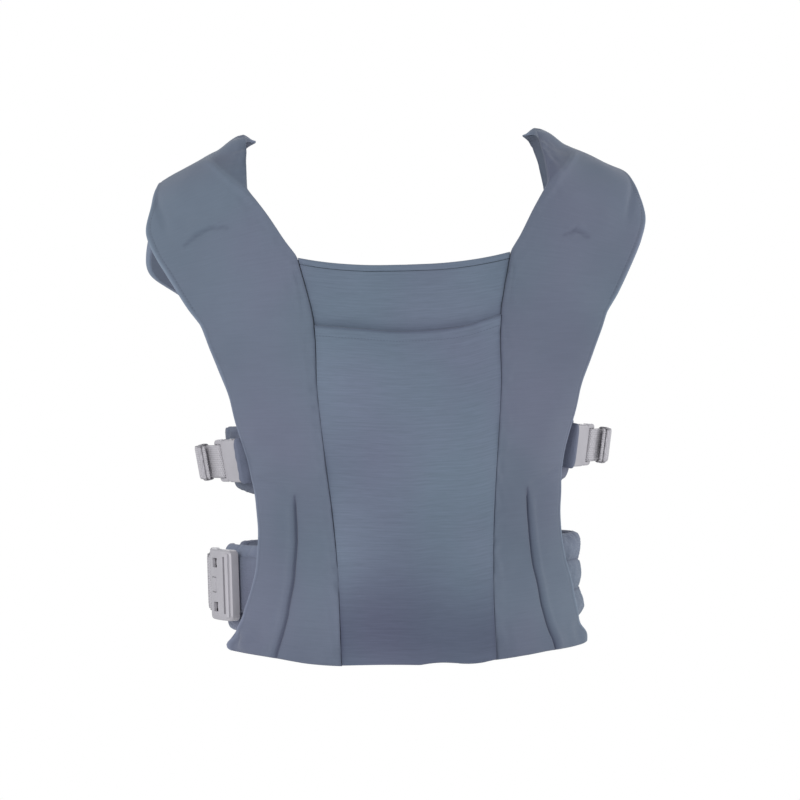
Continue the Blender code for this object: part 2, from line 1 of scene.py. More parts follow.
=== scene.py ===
"""Soft baby carrier, modelled in fabric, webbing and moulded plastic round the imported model.

Metres, +Z up, the front panel faces -Y and +X is the right-hand side seen from the front.
Fabric pieces are closed pads between two offsets of a base surface, with rounded rims.
"""
import math

import bmesh
import bpy
import numpy as np
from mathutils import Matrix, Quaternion, Vector
from mathutils.bvhtree import BVHTree


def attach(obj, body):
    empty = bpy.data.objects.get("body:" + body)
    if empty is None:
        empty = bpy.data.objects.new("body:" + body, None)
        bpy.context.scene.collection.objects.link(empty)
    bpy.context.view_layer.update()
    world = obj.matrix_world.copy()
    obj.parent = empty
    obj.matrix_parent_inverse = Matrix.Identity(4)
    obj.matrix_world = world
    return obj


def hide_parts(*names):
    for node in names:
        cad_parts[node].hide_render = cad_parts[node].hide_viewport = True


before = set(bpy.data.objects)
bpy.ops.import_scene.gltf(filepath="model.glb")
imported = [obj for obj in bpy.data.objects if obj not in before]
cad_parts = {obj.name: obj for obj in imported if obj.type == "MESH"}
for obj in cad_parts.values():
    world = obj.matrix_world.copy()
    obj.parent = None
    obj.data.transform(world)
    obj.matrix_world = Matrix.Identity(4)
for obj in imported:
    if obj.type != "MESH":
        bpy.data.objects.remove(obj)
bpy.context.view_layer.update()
scene = bpy.context.scene
MM = 0.001

# ---- body shape, the same numbers as the CAD source ----
CHEST_TOP = 0.300
SHOULDER_DEPTH = 0.118
SHOULDER_WIDTH = 0.260
CREST_X, CREST_Z, CREST_SLOPE = 0.120, 0.4705, 0.50
FRONT_WIDTH = [(0.0, 0.172), (0.06, 0.168), (0.13, 0.163), (0.18, 0.166), (0.24, 0.200),
               (0.30, 0.260)]
FRONT_DEPTH = [(0.0, 0.124), (0.06, 0.1225), (0.13, 0.121), (0.18, 0.121), (0.24, 0.120),
               (0.30, 0.118)]
TORSO_WIDTH = [(0.107, 0.151), (0.145, 0.1425), (0.18, 0.147), (0.215, 0.1535), (0.25, 0.185),
               (0.30, 0.260)]
TORSO_DEPTH = [(0.11, 0.105), (0.20, 0.105), (0.25, 0.112), (0.30, 0.118)]
OUTER_EDGE = [(0.011, 0.1625), (0.030, 0.151), (0.060, 0.141), (0.085, 0.135), (0.111, 0.132),
              (0.135, 0.132), (0.164, 0.1345), (0.184, 0.1385), (0.216, 0.148),
              (0.239, 0.154), (0.262, 0.163), (0.281, 0.170), (0.300, 0.177)]
CENTRE_SEAM = [(0.0, 0.066), (0.106, 0.067), (0.239, 0.079), (0.300, 0.081), (0.357, 0.093)]
HEM = [(0.0, 0.0), (0.063, 0.0007), (0.094, 0.003), (0.119, 0.0075), (0.157, 0.0130)]
HEM_WAVE = 0.0012                  # how far the free hem waves up and down
NECKLINE = [(0.0, 0.348), (0.030, 0.3485), (0.055, 0.3505), (0.076, 0.3535), (0.093, 0.357)]
POCKET_HEM = [(-0.083, 0.2985), (-0.045, 0.294), (-0.006, 0.290), (0.045, 0.2925),
              (0.081, 0.3025)]
NECK_ANGLE = 18.8
CORNER = 0.008                     # radius of the panel's lower corners
SIDE_LOW_IN, SIDE_LOW_OUT = 0.001, 0.011
STRAP_INNER = [(18.8, 0.0942), (24, 0.1035), (33, 0.1160), (41, 0.1265), (46, 0.1322),
               (48, 0.1330), (60, 0.1325), (80, 0.1320), (86, 0.1285), (90, 0.1225),
               (94, 0.1235), (102, 0.130), (110, 0.1355), (118, 0.1415), (135, 0.148),
               (152, 0.131), (165, 0.106), (180, 0.080)]
STRAP_OUTER = [(0, 0.177), (8, 0.190), (21.6, 0.206), (32.8, 0.216), (44.4, 0.221),
               (58, 0.217), (70, 0.2145), (90, 0.209), (115, 0.210), (140, 0.2195),
               (150, 0.221), (157, 0.214), (167, 0.188), (180, 0.155)]
TIP_RISE, TIP_START, TIP_RUN = 3.8 * MM, 0.156, 0.020      # the strap's pointed corner
TIP_DROOP, DROOP_START = 0.55, 0.1340
CREST_FROM, CREST_TO, CREST_FADE = 40, 140, 40             # degrees round the shoulder
SEAM_GAP = 0.15 * MM               # the sewn edges nearly touch, with the seam tape behind
LINING = 1.2 * MM
PANEL_NEAR = 1.5 * MM
INNER_PANEL_FAR = 4.4 * MM
OUTER_PANEL_FAR = 6.6 * MM
SIDE_PANEL_FAR = 6.2 * MM
STRAP_FAR = 9.0 * MM
CROSSING_LIFT = 10.2 * MM
BINDING = 6.0 * MM
BAND_LOW, BAND_HIGH, BAND_FAR = 0.0275, 0.1055, 13.0 * MM
BAND_RIM, BAND_QUILTED, BAND_SWELL = 6.0 * MM, 5.8 * MM, BAND_FAR - 8.2 * MM
BAND_ENDS = (-98, 88, 88.4, 250)
BAND_STITCHES = (0.081, 0.054)     # heights of the two quilting lines
WING_FAR, WING_ROUND = 10.0 * MM, 0.012
WING_ENDS, WING_HIGH, WING_LOW = (46, 97), 0.213, (0.144, 0.160)
WEB = 1.4 * MM
WAIST_WEB, SIDE_WEB = 50 * MM, 30 * MM
WEB_LIFT, WEB_HEIGHT = 2.4 * MM, 0.185
WEB_DROP = -1.1 * MM               # the strap webbing's place under the male half
WEB_SEAM = 2.5 * MM                # stitches this far inside the webbing's edges
SEWN = slice(-13, -2)              # the rows of the strap webbing that are sewn on
WAIST_ARC = np.array((-0.0690, 0.0013, 0.0705))
WAIST_ARC_RADIUS, WAIST_ARC_START, WAIST_BEND_RADIUS = 0.0955, 33, 0.1025
SIDE_LEAN = 10
RADIAN, TORSO_RADIUS = 57.3, 0.128             # degrees in a radian, and the mean radius


# ---- numbers ----
WAVES = 14                         # waves added up in one random field


def curve(table, at):
    """Smooth values through (position, value) pairs, level beyond both ends."""
    xs, ys = np.array(table, float).T
    slope = np.empty(len(xs))
    slope[1:-1] = (ys[2:] - ys[:-2]) / (xs[2:] - xs[:-2])
    slope[0] = (ys[1] - ys[0]) / (xs[1] - xs[0])
    slope[-1] = (ys[-1] - ys[-2]) / (xs[-1] - xs[-2])
    at = np.clip(at, xs[0], xs[-1])
    i = np.clip(np.searchsorted(xs, at) - 1, 0, len(xs) - 2)
    h = xs[i + 1] - xs[i]
    s = (at - xs[i]) / h
    return ((2 * s**3 - 3 * s**2 + 1) * ys[i] + (s**3 - 2 * s**2 + s) * slope[i] * h
            + (3 * s**2 - 2 * s**3) * ys[i + 1] + (s**3 - s**2) * slope[i + 1] * h)


def lerp(a, b, s):
    return a + (b - a) * s


def smooth(s):
    s = np.clip(s, 0.0, 1.0)
    return s * s * (3 - 2 * s)


def unit(v):
    return v / np.maximum(np.linalg.norm(v, axis=-1, keepdims=True), 1e-12)


def stack(x, y, z):
    return np.stack(np.broadcast_arrays(x, y, z), -1).astype(float)


def bell(distance, width):
    return np.exp(-(distance / width) ** 2)


def distances(path):
    """How far along a broken line each of its points lies."""
    return np.concatenate([[0], np.cumsum(np.linalg.norm(np.diff(path, axis=0), axis=1))])


def ripple(points, seed, wavelength, squash=(1, 1, 1)):
    """Smooth random field with about unit spread, the same on each run."""
    rng = np.random.default_rng(seed)
    total = np.zeros(points.shape[:-1])
    for _ in range(WAVES):
        way = unit(rng.normal(size=3)) * np.array(squash)
        size = wavelength * rng.uniform(0.7, 1.4)
        total += np.cos(points @ way * (2 * math.pi / size) + rng.uniform(0, 2 * math.pi))
    return total / math.sqrt(WAVES / 2)


def near_line(p, line):
    """Distance in the X-Z plane from points to a broken line, and how far along it, 0 to 1."""
    line = np.array(line, float)
    best = np.full(p.shape[:-1], 9.0)
    along = np.zeros(p.shape[:-1])
    q = p[..., [0, 2]]
    for k, (a, b) in enumerate(zip(line, line[1:])):
        d = b - a
        t = np.clip(((q - a) @ d) / (d @ d), 0, 1)
        far = np.linalg.norm(q - a - t[..., None] * d, axis=-1)
        along = np.where(far < best, (k + t) / (len(line) - 1), along)
        best = np.minimum(best, far)
    return best, along


def groove(p, line, depth, width, fade):
    """A soft groove (or a ridge, with negative depth) along a line, fading at its ends."""
    far, along = near_line(p, line)
    return -depth * bell(far, width) * smooth(along / fade) * smooth((1 - along) / fade)


# ---- body surfaces ----
def crest_height(x):
    return CREST_Z - CREST_SLOPE * (x - CREST_X)


def shoulder_point(x, angle):
    a = np.radians(angle)
    depth = SHOULDER_DEPTH * np.sqrt(1 - (x / SHOULDER_WIDTH) ** 2)
    return stack(x, -depth * np.cos(a), CHEST_TOP + (crest_height(x) - CHEST_TOP) * np.sin(a))


def front_point(x, z):
    rise = np.clip((z - CHEST_TOP) / (crest_height(np.abs(x)) - CHEST_TOP), 0, 1)
    over = SHOULDER_DEPTH * np.sqrt(1 - (x / SHOULDER_WIDTH) ** 2) * np.sqrt(1 - rise**2)
    low = np.minimum(z, CHEST_TOP)
    under = curve(FRONT_DEPTH, low) * np.sqrt(1 - (x / curve(FRONT_WIDTH, low)) ** 2)
    return stack(x, -np.where(z > CHEST_TOP, over, under), z)


def back_point(x, z):
    width = curve(TORSO_WIDTH, z)
    return stack(x, curve(TORSO_DEPTH, z) * np.sqrt(1 - (x / width) ** 2), z)


def torso_point(angle, z):
    a = np.radians(angle)
    return stack(curve(TORSO_WIDTH, z) * np.sin(a), -curve(TORSO_DEPTH, z) * np.cos(a), z)


def centre_surface(low, high):
    def surface(u, v):
        s = 2 * u - 1
        z = np.zeros(np.broadcast(u, v).shape)
        for _ in range(3):
            x = s * (curve(CENTRE_SEAM, z) - SEAM_GAP)
            z = lerp(low(x), high(x), v)
        return front_point(x, z)
    return surface


def strap_inner(angle):
    x = np.full(np.shape(angle), 0.087)
    for _ in range(4):
        low = np.minimum(angle, NECK_ANGLE)
        x = curve(CENTRE_SEAM, shoulder_point(x, low)[..., 2]) + SEAM_GAP
    return np.where(angle > NECK_ANGLE, curve(STRAP_INNER, angle), x)


def side_surface(u, v):
    z_in, z_out = lerp(SIDE_LOW_IN, CHEST_TOP, v), lerp(SIDE_LOW_OUT, CHEST_TOP, v)
    x = lerp(curve(CENTRE_SEAM, z_in) + SEAM_GAP, curve(OUTER_EDGE, z_out), u)
    short = np.maximum(CORNER - v * (CHEST_TOP - SIDE_LOW_OUT), 0)
    x -= u**8 * (CORNER - np.sqrt(CORNER**2 - np.minimum(short, CORNER)**2))
    return front_point(x, lerp(curve(HEM, x), CHEST_TOP, v))


def shoulder_surface(u, v):
    """The strap over the shoulder; the pointed tip at the neck droops a little."""
    angle = 180 * v
    p = shoulder_point(lerp(strap_inner(angle), curve(STRAP_OUTER, angle), u), angle)
    crest = (smooth((angle - CREST_FROM) / CREST_FADE)
             * smooth((CREST_TO - angle) / CREST_FADE))
    p[..., 2] += TIP_RISE * smooth((TIP_START - p[..., 0]) / TIP_RUN) * crest
    p[..., 2] -= TIP_DROOP * np.maximum(DROOP_START - p[..., 0], 0) * smooth((crest - 0.5) * 4)
    return p


FRONT_SHARE = 0.42                 # part of the front cover's length that lies below the chest
CORNER_IN, CORNER_TOP = 0.085, 0.07            # where its lower corner begins to hang
CORNER_SHIFT = {"left": (2.5 * MM, 0), "right": (-4 * MM, 6 * MM)}     # outwards and down


def shoulder_v(v):
    return np.clip((v - FRONT_SHARE) / (1 - FRONT_SHARE), 0, 1)


def hung_cover(side):
    """From the hem up the front and over the shoulder, in one piece (right side).

    The lower corner hangs lower on the right and wider on the left.
    """
    out, down = CORNER_SHIFT[side]

    def surface(u, v):
        below = side_surface(u, np.clip(v / FRONT_SHARE, 0, 1))
        p = np.where((v < FRONT_SHARE)[..., None], below, shoulder_surface(u, shoulder_v(v)))
        corner = (smooth((p[..., 0] - CORNER_IN) / 0.07) * (p[..., 1] < 0)
                  * smooth((CORNER_TOP - p[..., 2]) / 0.06))
        p[..., 0] += out * corner
        p[..., 2] -= down * corner
        return p
    return surface


BACK_RIBS = [
    (back_point(0.080, 0.300), back_point(0.155, 0.300)),
    (back_point(0.046, 0.280), back_point(0.112, 0.232)),
    (back_point(-0.010, 0.256), back_point(0.010, 0.192)),
    (back_point(-0.074, 0.233), back_point(-0.066, 0.171)),
    (torso_point(228, 0.219), torso_point(226, 0.165)),
    (torso_point(250, 0.208), torso_point(250, 0.162)),
]


def rail(points, s):
    """Catmull-Rom points at s from 0 to 1 along a list of points; s may be an array."""
    points = np.array(points, float)
    points = np.vstack([2 * points[0] - points[1], points, 2 * points[-1] - points[-2]])
    n = len(points) - 3
    k = np.clip((np.asarray(s) * n).astype(int), 0, n - 1)
    f = (np.asarray(s) * n - k)[..., None]
    p0, p1, p2, p3 = (points[k + i] for i in range(4))
    return 0.5 * (2 * p1 + (p2 - p0) * f + (2 * p0 - 5 * p1 + 4 * p2 - p3) * f**2
                  + (3 * p1 - p0 - 3 * p2 + p3) * f**3)


def back_surface(u, v):
    upper, lower = (rail([rib[i] for rib in BACK_RIBS], v) for i in (0, 1))
    p = lerp(upper, lower, np.asarray(u)[..., None])
    width, depth = curve(TORSO_WIDTH, p[..., 2]), curve(TORSO_DEPTH, p[..., 2])
    scale = 1 / np.hypot(p[..., 0] / width, p[..., 1] / depth)
    return stack(p[..., 0] * scale, p[..., 1] * scale, p[..., 2])


def crossing_lift(v):
    return CROSSING_LIFT * smooth(v * 10) * smooth((0.89 - v) * 9)


def band_surface(start, end, low=BAND_LOW, high=BAND_HIGH, corner=0.010):
    """Patch of the torso, u down, v round from start to end, with rounded free corners."""
    def surface(u, v):
        reach = abs(end - start) / RADIAN * TORSO_RADIUS
        from_end = np.minimum(v, 1 - v) * reach
        cut = corner - np.sqrt(np.maximum(corner**2 - np.maximum(corner - from_end, 0) ** 2, 0))
        return torso_point(lerp(start, end, v), lerp(high - cut, low + cut, u))
    return surface


def wing_surface(u, v):
    round_off = WING_ROUND * (np.maximum(0.0, (v - 0.8) / 0.2)) ** 2
    high, low = WING_HIGH - round_off, lerp(*WING_LOW, v) + round_off
    return torso_point(lerp(*WING_ENDS, v), lerp(high, low, u))


def normal_of(surface, u, v):
    e = 1e-4
    du = surface(np.clip(u + e, 0, 1), v) - surface(np.clip(u - e, 0, 1), v)
    dv = surface(u, np.clip(v + e, 0, 1)) - surface(u, np.clip(v - e, 0, 1))
    return unit(np.cross(du, dv))


# ---- materials ----
DARK, PALE = (0.50, 0.47, 0.55), (1.42, 1.42, 1.40)    # painted shade and painted highlight, times the colour


class Shade:
    """A new material's node tree and its shader, with short ways to add and link nodes."""

    def __init__(self, name, colour, roughness):
        self.mat = bpy.data.materials.new(name)
        self.mat.use_nodes = True
        self.tree = self.mat.node_tree
        self.shader = self.tree.nodes["Principled BSDF"]
        self.fill(self.shader, Base_Color=(*colour, 1), Roughness=roughness)

    def put(self, value, target):
        """Link a node or one of its outputs to an input, or set the input's own value."""
        if isinstance(value, (int, float, tuple)):
            target.default_value = value
        else:
            source = value.outputs[0] if isinstance(value, bpy.types.Node) else value
            self.tree.links.new(source, target)

    def fill(self, node, **values):
        """Set a node's properties and fill its inputs, each by its name."""
        for key, value in values.items():
            if key in node.bl_rna.properties:
                setattr(node, key, value)
            else:
                self.put(value, node.inputs[key.replace("_", " ")])
        return node

    def add(self, kind, **values):
        return self.fill(self.tree.nodes.new("ShaderNode" + kind), **values)

    def scaled(self, source, size):
        """The coordinates stretched so that one unit is size metres along each axis."""
        return self.add("Mapping", Vector=source, Scale=tuple(1 / s if s else 0 for s in size))

    def noise(self, source, size, detail, roughness=0.5):
        return self.add("TexNoise", Vector=self.scaled(source, size), Scale=1.0, Detail=detail,
                        Roughness=roughness)

    def bands(self, source, size, direction="X", distortion=0.0):
        return self.add("TexWave", Vector=self.scaled(source, size), wave_type="BANDS",
                        bands_direction=direction, wave_profile="SIN", Scale=0.5,
                        Distortion=distortion)

    def math(self, operation, a, b):
        node = self.add("Math", operation=operation)
        self.put(a, node.inputs[0])
        self.put(b, node.inputs[1])
        return node

    def sum(self, *terms):
        """The sum of nodes times their weights."""
        total, *rest = [self.math("MULTIPLY", node, weight) for node, weight in terms]
        for term in rest:
            total = self.math("ADD", total, term)
        return total

    def tint(self, factor, dark, light, low=0.3, high=0.7):
        ramp = self.add("ValToRGB", Fac=factor)
        for element, at, colour in zip(ramp.color_ramp.elements, (low, high), (dark, light)):
            element.position, element.color = at, (*colour, 1)
        return ramp

    def mix(self, factor, a, b, blend="MULTIPLY"):
        """Two colours mixed; a number, a plain colour or a node for each."""
        node = self.add("Mix", data_type="RGBA", blend_type=blend, clamp_result=False,
                        Factor=factor)
        self.put(a, node.inputs[6])
        self.put(b, node.inputs[7])
        return node.outputs[2]

    def paint_light_and_tone(self, colour, place):
        """Painted shade towards 1 and painted highlight towards -1, with some random tone, by
        the weave's third value.
        """
        mark = self.add("SeparateXYZ", Vector=place)
        for low, factor in ((0.0, DARK), (-1.0, PALE)):
            share = self.add("MapRange", Value=mark.outputs["Z"], From_Min=low,
                             From_Max=low + 1.0, To_Min=-low, To_Max=1.0 + low)
            colour = self.mix(share.outputs["Result"], colour, (*factor, 1))
        self.fill(self.shader, Base_Color=colour)

    def bump(self, height, strength, distance):
        bump = self.add("Bump", Height=height, Strength=strength, Distance=distance)
        self.fill(self.shader, Normal=bump)


def times(colour, factor):
    return [c * factor for c in colour]


def knit(name, colour, slub=0.10, rib=0.0, column=0.9 * MM, course=0.75 * MM, sheen=0.12):
    """Jersey knit: fine columns and courses, horizontal slubs and a little cloudiness."""
    look = Shade(name, colour, 0.86)
    place = look.add("Attribute", attribute_name="weave").outputs["Vector"]
    streak = look.noise(place, (0.036, 0.0016, 0), 3.0, 0.6)
    fine = look.noise(place, (0.011, 0.0007, 0), 2.0)
    cloud = look.noise(look.add("TexCoord").outputs["Object"], (0.11, 0.11, 0.16), 2.0)
    both = look.sum((streak, 0.65), (fine, 0.35))
    base = look.tint(both, times(colour, 1 - slub), times(colour, 1 + slub), 0.34, 0.66)
    hue = look.tint(cloud, (1.035, 0.975, 1.0), (0.965, 1.02, 0.99), 0.35, 0.65)
    look.paint_light_and_tone(look.mix(1.0, base, hue), place)
    columns = look.bands(place, (column, course * 4, 0), "X", 0.6)
    courses = look.bands(place, (column * 3, course, 0), "Y", 0.8)
    height = [(columns, 0.6), (courses, 0.4), (both, 0.7)]
    if rib:
        height.append((look.bands(place, (2.6 * MM, 1, 0)), rib))
    look.bump(look.sum(*height), 0.35, 0.00025)
    look.fill(look.shader, Sheen_Weight=sheen, Sheen_Roughness=0.45, Specular_IOR_Level=0.25)
    return look.mat


def woven(name, colour, thread=1.5 * MM):
    """Webbing: raised diagonal bars in narrow columns, with painted highlight on the crowns and
    painted shade in the gaps.
    """
    look = Shade(name, colour, 0.62)
    place = look.add("Attribute", attribute_name="weave").outputs["Vector"]
    bars = look.bands(place, (thread * 1.4, thread * 0.9, 0), "DIAGONAL", 0.25)
    columns = look.bands(place, (thread * 2, 1, 0))
    grain = look.noise(place, (0.004, 0.0009, 0), 3.0)
    height = look.sum((bars, 0.6), (columns, 0.4))
    # painted highlight on the raised bars and painted shade between them, with grain
    crowns = look.sum((height, 0.75), (grain, 0.35))
    look.paint_light_and_tone(look.tint(crowns, times(colour, 0.72), times(colour, 1.15), 0.2, 0.85), place)
    look.bump(height, 0.9, 0.0005)
    look.fill(look.shader, Sheen_Weight=0.08)
    return look.mat


def plastic(name, colour):
    """Moulded acetal: satin, with fine texture, faint mottling and worn, paler edges."""
    look = Shade(name, colour, 0.42)
    body = look.add("TexCoord").outputs["Object"]
    mottle = look.noise(body, (0.018,) * 3, 3.0)
    edges = look.tint(look.add("NewGeometry").outputs["Pointiness"], (0, 0, 0), (1, 1, 1), 0.53,
                      0.62)
    base = look.tint(mottle, times(colour, 0.95), times(colour, 1.04))
    rubbed = (*[min(1, c) for c in times(colour, 1.25)], 1)
    rough = look.add("MapRange", Value=mottle, To_Min=0.36, To_Max=0.50)
    look.fill(look.shader, Base_Color=look.mix(edges, base, rubbed, "MIX"), Roughness=rough)
    look.bump(look.noise(body, (0.0006,) * 3, 2.0), 0.12, 0.0001)
    return look.mat


SLATE = (0.131, 0.156, 0.212)
MATERIALS = {                      # each material and its slot
    "knit": (knit("side_knit", SLATE, slub=0.035), "knit"),
    "heathered": (knit("heathered_knit", (0.137, 0.168, 0.230), slub=0.085), "heathered_knit"),
    "band": (knit("band_knit", (0.145, 0.168, 0.230), slub=0.04, rib=1.6), "band_fabric"),
    "lining": (knit("lining_knit", (0.130, 0.152, 0.204), slub=0.03, column=1.3 * MM,
                    course=1.3 * MM, sheen=0.05), "lining"),
    "label": (knit("label_satin", (0.56, 0.56, 0.58), slub=0.02, column=0.4 * MM,
                   course=0.4 * MM), "lining"),
    "thread": (knit("thread", (0.092, 0.108, 0.155), slub=0.03, sheen=0.2), "knit"),
    "grey_thread": (knit("grey_thread", (0.27, 0.26, 0.29), slub=0.03, sheen=0.2), "webbing"),
    "webbing": (woven("grey_webbing", (0.455, 0.440, 0.472)), "webbing"),
    "elastic": (woven("grey_elastic", (0.43, 0.415, 0.45), thread=0.9 * MM), "elastic")}
PLASTIC = plastic("grey_plastic", (0.375, 0.362, 0.392))


# ---- mesh building ----
def make_object(name, points, faces, weave, mat, body="root", replaces=(), turn=False):
    """A smooth mesh with its weave: metres across and along the cloth, and its painted light.

    The third value is painted shade on seams, darts and creases (up to 1) or painted highlight
    on rims and tips (down to -1), with some tone.
    With turn, its faces are turned to point outwards.
    """
    mesh = bpy.data.meshes.new(name)
    mesh.from_pydata([tuple(p) for p in points], [], faces)
    mesh.shade_smooth()
    attribute = mesh.attributes.new("weave", "FLOAT_VECTOR", "POINT")
    flat = np.zeros((len(points), 3), np.float32)
    flat[:, :np.shape(weave)[1]] = weave
    attribute.data.foreach_set("vector", flat.ravel())
    material, slot = MATERIALS[mat]
    mesh.materials.append(material)
    mesh.update()
    obj = bpy.data.objects.new(name, mesh)
    scene.collection.objects.link(obj)
    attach(obj, body)
    if replaces:
        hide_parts(*replaces)
    if turn:
        data = bmesh.new()
        data.from_mesh(mesh)
        bmesh.ops.recalc_face_normals(data, faces=data.faces)
        data.to_mesh(mesh)
        data.free()
    return obj


def tube_faces(rows, size, first=0, closed=False):
    """Faces between rings of size points, capped at both ends unless the rows close up."""
    rings = [[first + j % rows * size + i for i in range(size)] for j in range(rows + closed)]
    faces = [(a[i], a[(i + 1) % size], b[(i + 1) % size], b[i])
             for a, b in zip(rings, rings[1:]) for i in range(size)]
    return faces if closed else [*faces, tuple(rings[0][::-1]), tuple(rings[-1])]


def rim_fractions(length, rims, count):
    """Places from 0 to 1 along each row: close together where the rims round over."""
    length = np.atleast_1d(length)[:, None]
    turn = 1 - np.cos(np.linspace(0, math.pi / 2, 6))
    r0, r1 = (np.minimum(r, 0.45 * length) for r in rims)
    middle = lerp(r0, length - r1, np.linspace(0, 1, count + 2)[1:-1][None, :])
    return np.hstack([r0 * turn, middle, length - r1 * turn[::-1]]) / length


def rounded(distance, radius):
    return np.sqrt(np.clip(1 - (1 - np.clip(distance / radius, 0, 1)) ** 2, 0, 1))


PADS = {}


class Pad:
    """A closed pad over surface(u, v) between two offsets, its rims rounded (u0, u1, v0, v1).

    Offsets are in metres; the mesh's step and the rims' radii are in millimetres.
    """

    def __init__(self, name, surface, near, far, mat, step, rims, mirror=False, relief=None,
                 shade=None, replaces=()):
        PADS[name] = self
        step_u, step_v = (n * MM for n in (step if isinstance(step, tuple) else (step, step)))
        rims = [r * MM for r in (rims if isinstance(rims, tuple) else (rims,) * 4)]
        ends = np.linspace(0, 1, 41)
        grid_u, grid_v = np.meshgrid(ends, ends)
        p = surface(grid_u, grid_v)
        across = np.linalg.norm(np.diff(p, axis=1), axis=-1).sum(1)
        length = float(np.median(np.linalg.norm(np.diff(p, axis=0), axis=-1).sum(0)))
        rows = rim_fractions(length, rims[2:], max(2, round(length / step_v)))[0]
        widths = np.interp(rows, ends, across)
        u = rim_fractions(widths, rims[:2], max(2, round(widths.max() / step_u)))
        v = np.repeat(rows[:, None], u.shape[1], 1)
        base = surface(u, v)
        normal = normal_of(surface, u, v)
        fade = (rounded(u * widths[:, None], rims[0])
                * rounded((1 - u) * widths[:, None], rims[1])
                * rounded(v * length, rims[2]) * rounded((1 - v) * length, rims[3]))
        near = near(u, v) if callable(near) else near
        far = far(u, v) if callable(far) else far
        rise = relief(u, v, base) if relief else 0.0
        middle = (near + far) / 2
        outer = base + normal * (middle + (far - middle + rise) * fade)[..., None]
        inner = base + normal * (middle - (middle - near) * fade)[..., None]
        if mirror:
            outer, inner = outer * (-1, 1, 1), inner * (-1, 1, 1)
        self.outer = outer
        self.from_side, self.from_end = u * widths[:, None], v * length
        self.widths, self.length = widths, length
        # painted shade and painted highlight, with some random tone, kept as the weave's third
        # value
        painted_light_and_tone = shade(u, v, base) if shade else np.zeros(u.shape)
        weave = np.stack([(u - 0.5) * widths[:, None], v * length, painted_light_and_tone], -1)
        rows_n, cols = u.shape
        index = np.arange(rows_n * cols).reshape(rows_n, cols)
        edge = np.zeros((rows_n, cols), bool)
        edge[[0, -1], :] = edge[:, [0, -1]] = True
        below = index.copy()
        below[~edge] = rows_n * cols + np.arange((~edge).sum())
        points = np.vstack([outer.reshape(-1, 3), inner[~edge]])
        weave = np.vstack([weave.reshape(-1, 3), weave[~edge]])
        faces = []
        for k, way in ((index, 1), (below, -1)):
            quad = np.stack([k[:-1, :-1], k[:-1, 1:], k[1:, 1:], k[1:, :-1]], -1).reshape(-1, 4)
            faces.append(quad[:, ::way if not mirror else -way])
        self.index = index
        self.obj = make_object(name, points, np.vstack(faces).tolist(), weave, mat,
                               replaces=replaces)

    def along(self, inset, start=0.0, end=1.0, turned=False):
        """Line on the outer face at a distance from side u0, or from u1 when negative."""
        lines, gaps, spans = self.outer, self.from_side, self.widths
        if turned:
            lines, gaps = self.outer.swapaxes(0, 1), self.from_end.T
            spans = np.full(len(lines), self.length)
        at = np.broadcast_to(inset, spans.shape) if inset >= 0 else spans + inset
        line = np.array([[np.interp(a, gap, points[:, k]) for k in range(3)]
                         for a, gap, points in zip(at, gaps, lines)])
        last = len(line) - 1
        return line[round(start * last):round(end * last) + 1]

    def across(self, inset, start=0.0, end=1.0):
        """Line on the outer face at a distance from end v0, or from v1 when negative."""
        return self.along(inset, start, end, turned=True)


CLOTH = {"quality": 6, "mass": 0.2, "tension_stiffness": 12, "compression_stiffness": 12,
         "shear_stiffness": 6, "bending_stiffness": 0.4, "vertex_group_mass": "pin",
         "use_pressure": True}
FRAMES = 20                        # time steps of the filling


def puff(pad, held, pressure, cap, slack):
    """Inflate a pad's outer face with the cloth solver, held at its rims and held lines."""
    mesh = pad.obj.data
    rest = np.zeros(len(mesh.vertices) * 3)
    mesh.vertices.foreach_get("co", rest)
    rest = rest.reshape(-1, 3)
    pins = np.ones(len(rest), bool)
    free = np.ones(pad.index.shape, bool)
    free[:2, :] = free[-2:, :] = free[:, :2] = free[:, -2:] = False
    for mask in held:
        free &= ~mask
    pins[pad.index[free]] = False
    group = pad.obj.vertex_groups.new(name="pin")
    group.add([int(i) for i in np.flatnonzero(pins)], 1.0, "REPLACE")
    cloth = pad.obj.modifiers.new("cloth", "CLOTH")
    for key, value in CLOTH.items():
        setattr(cloth.settings, key, value)
    cloth.settings.uniform_pressure_force = pressure
    cloth.settings.shrink_min = -slack
    cloth.settings.effector_weights.gravity = 0
    cloth.collision_settings.use_collision = False
    cloth.point_cache.frame_start, cloth.point_cache.frame_end = 1, FRAMES
    scene.frame_start, scene.frame_end = 1, FRAMES
    for number in range(1, FRAMES + 1):
        scene.frame_set(number)
    evaluated = pad.obj.evaluated_get(bpy.context.evaluated_depsgraph_get())
    moved = np.zeros(len(mesh.vertices) * 3)
    evaluated.data.vertices.foreach_get("co", moved)
    shift = moved.reshape(-1, 3) - rest
    size = np.linalg.norm(shift, axis=1, keepdims=True)
    shift *= np.minimum(1, cap / np.maximum(size, 1e-9))
    pad.obj.modifiers.remove(cloth)
    pad.obj.vertex_groups.remove(group)
    scene.frame_set(1)
    mesh.vertices.foreach_set("co", (rest + shift).ravel())
    mesh.update()
    pad.outer = (rest + shift)[pad.index]


STITCH = np.array([(0.0, 0.25, -0.9), (0.12, 0.8, 0.0), (0.5, 1.0, 0.45), (0.88, 0.8, 0.0),
                   (1.0, 0.25, -0.9)])         # place along, width and lift of each ring
STITCH_SHARE, STITCH_SINK, SIDES = 0.80, 0.05 * MM, 5


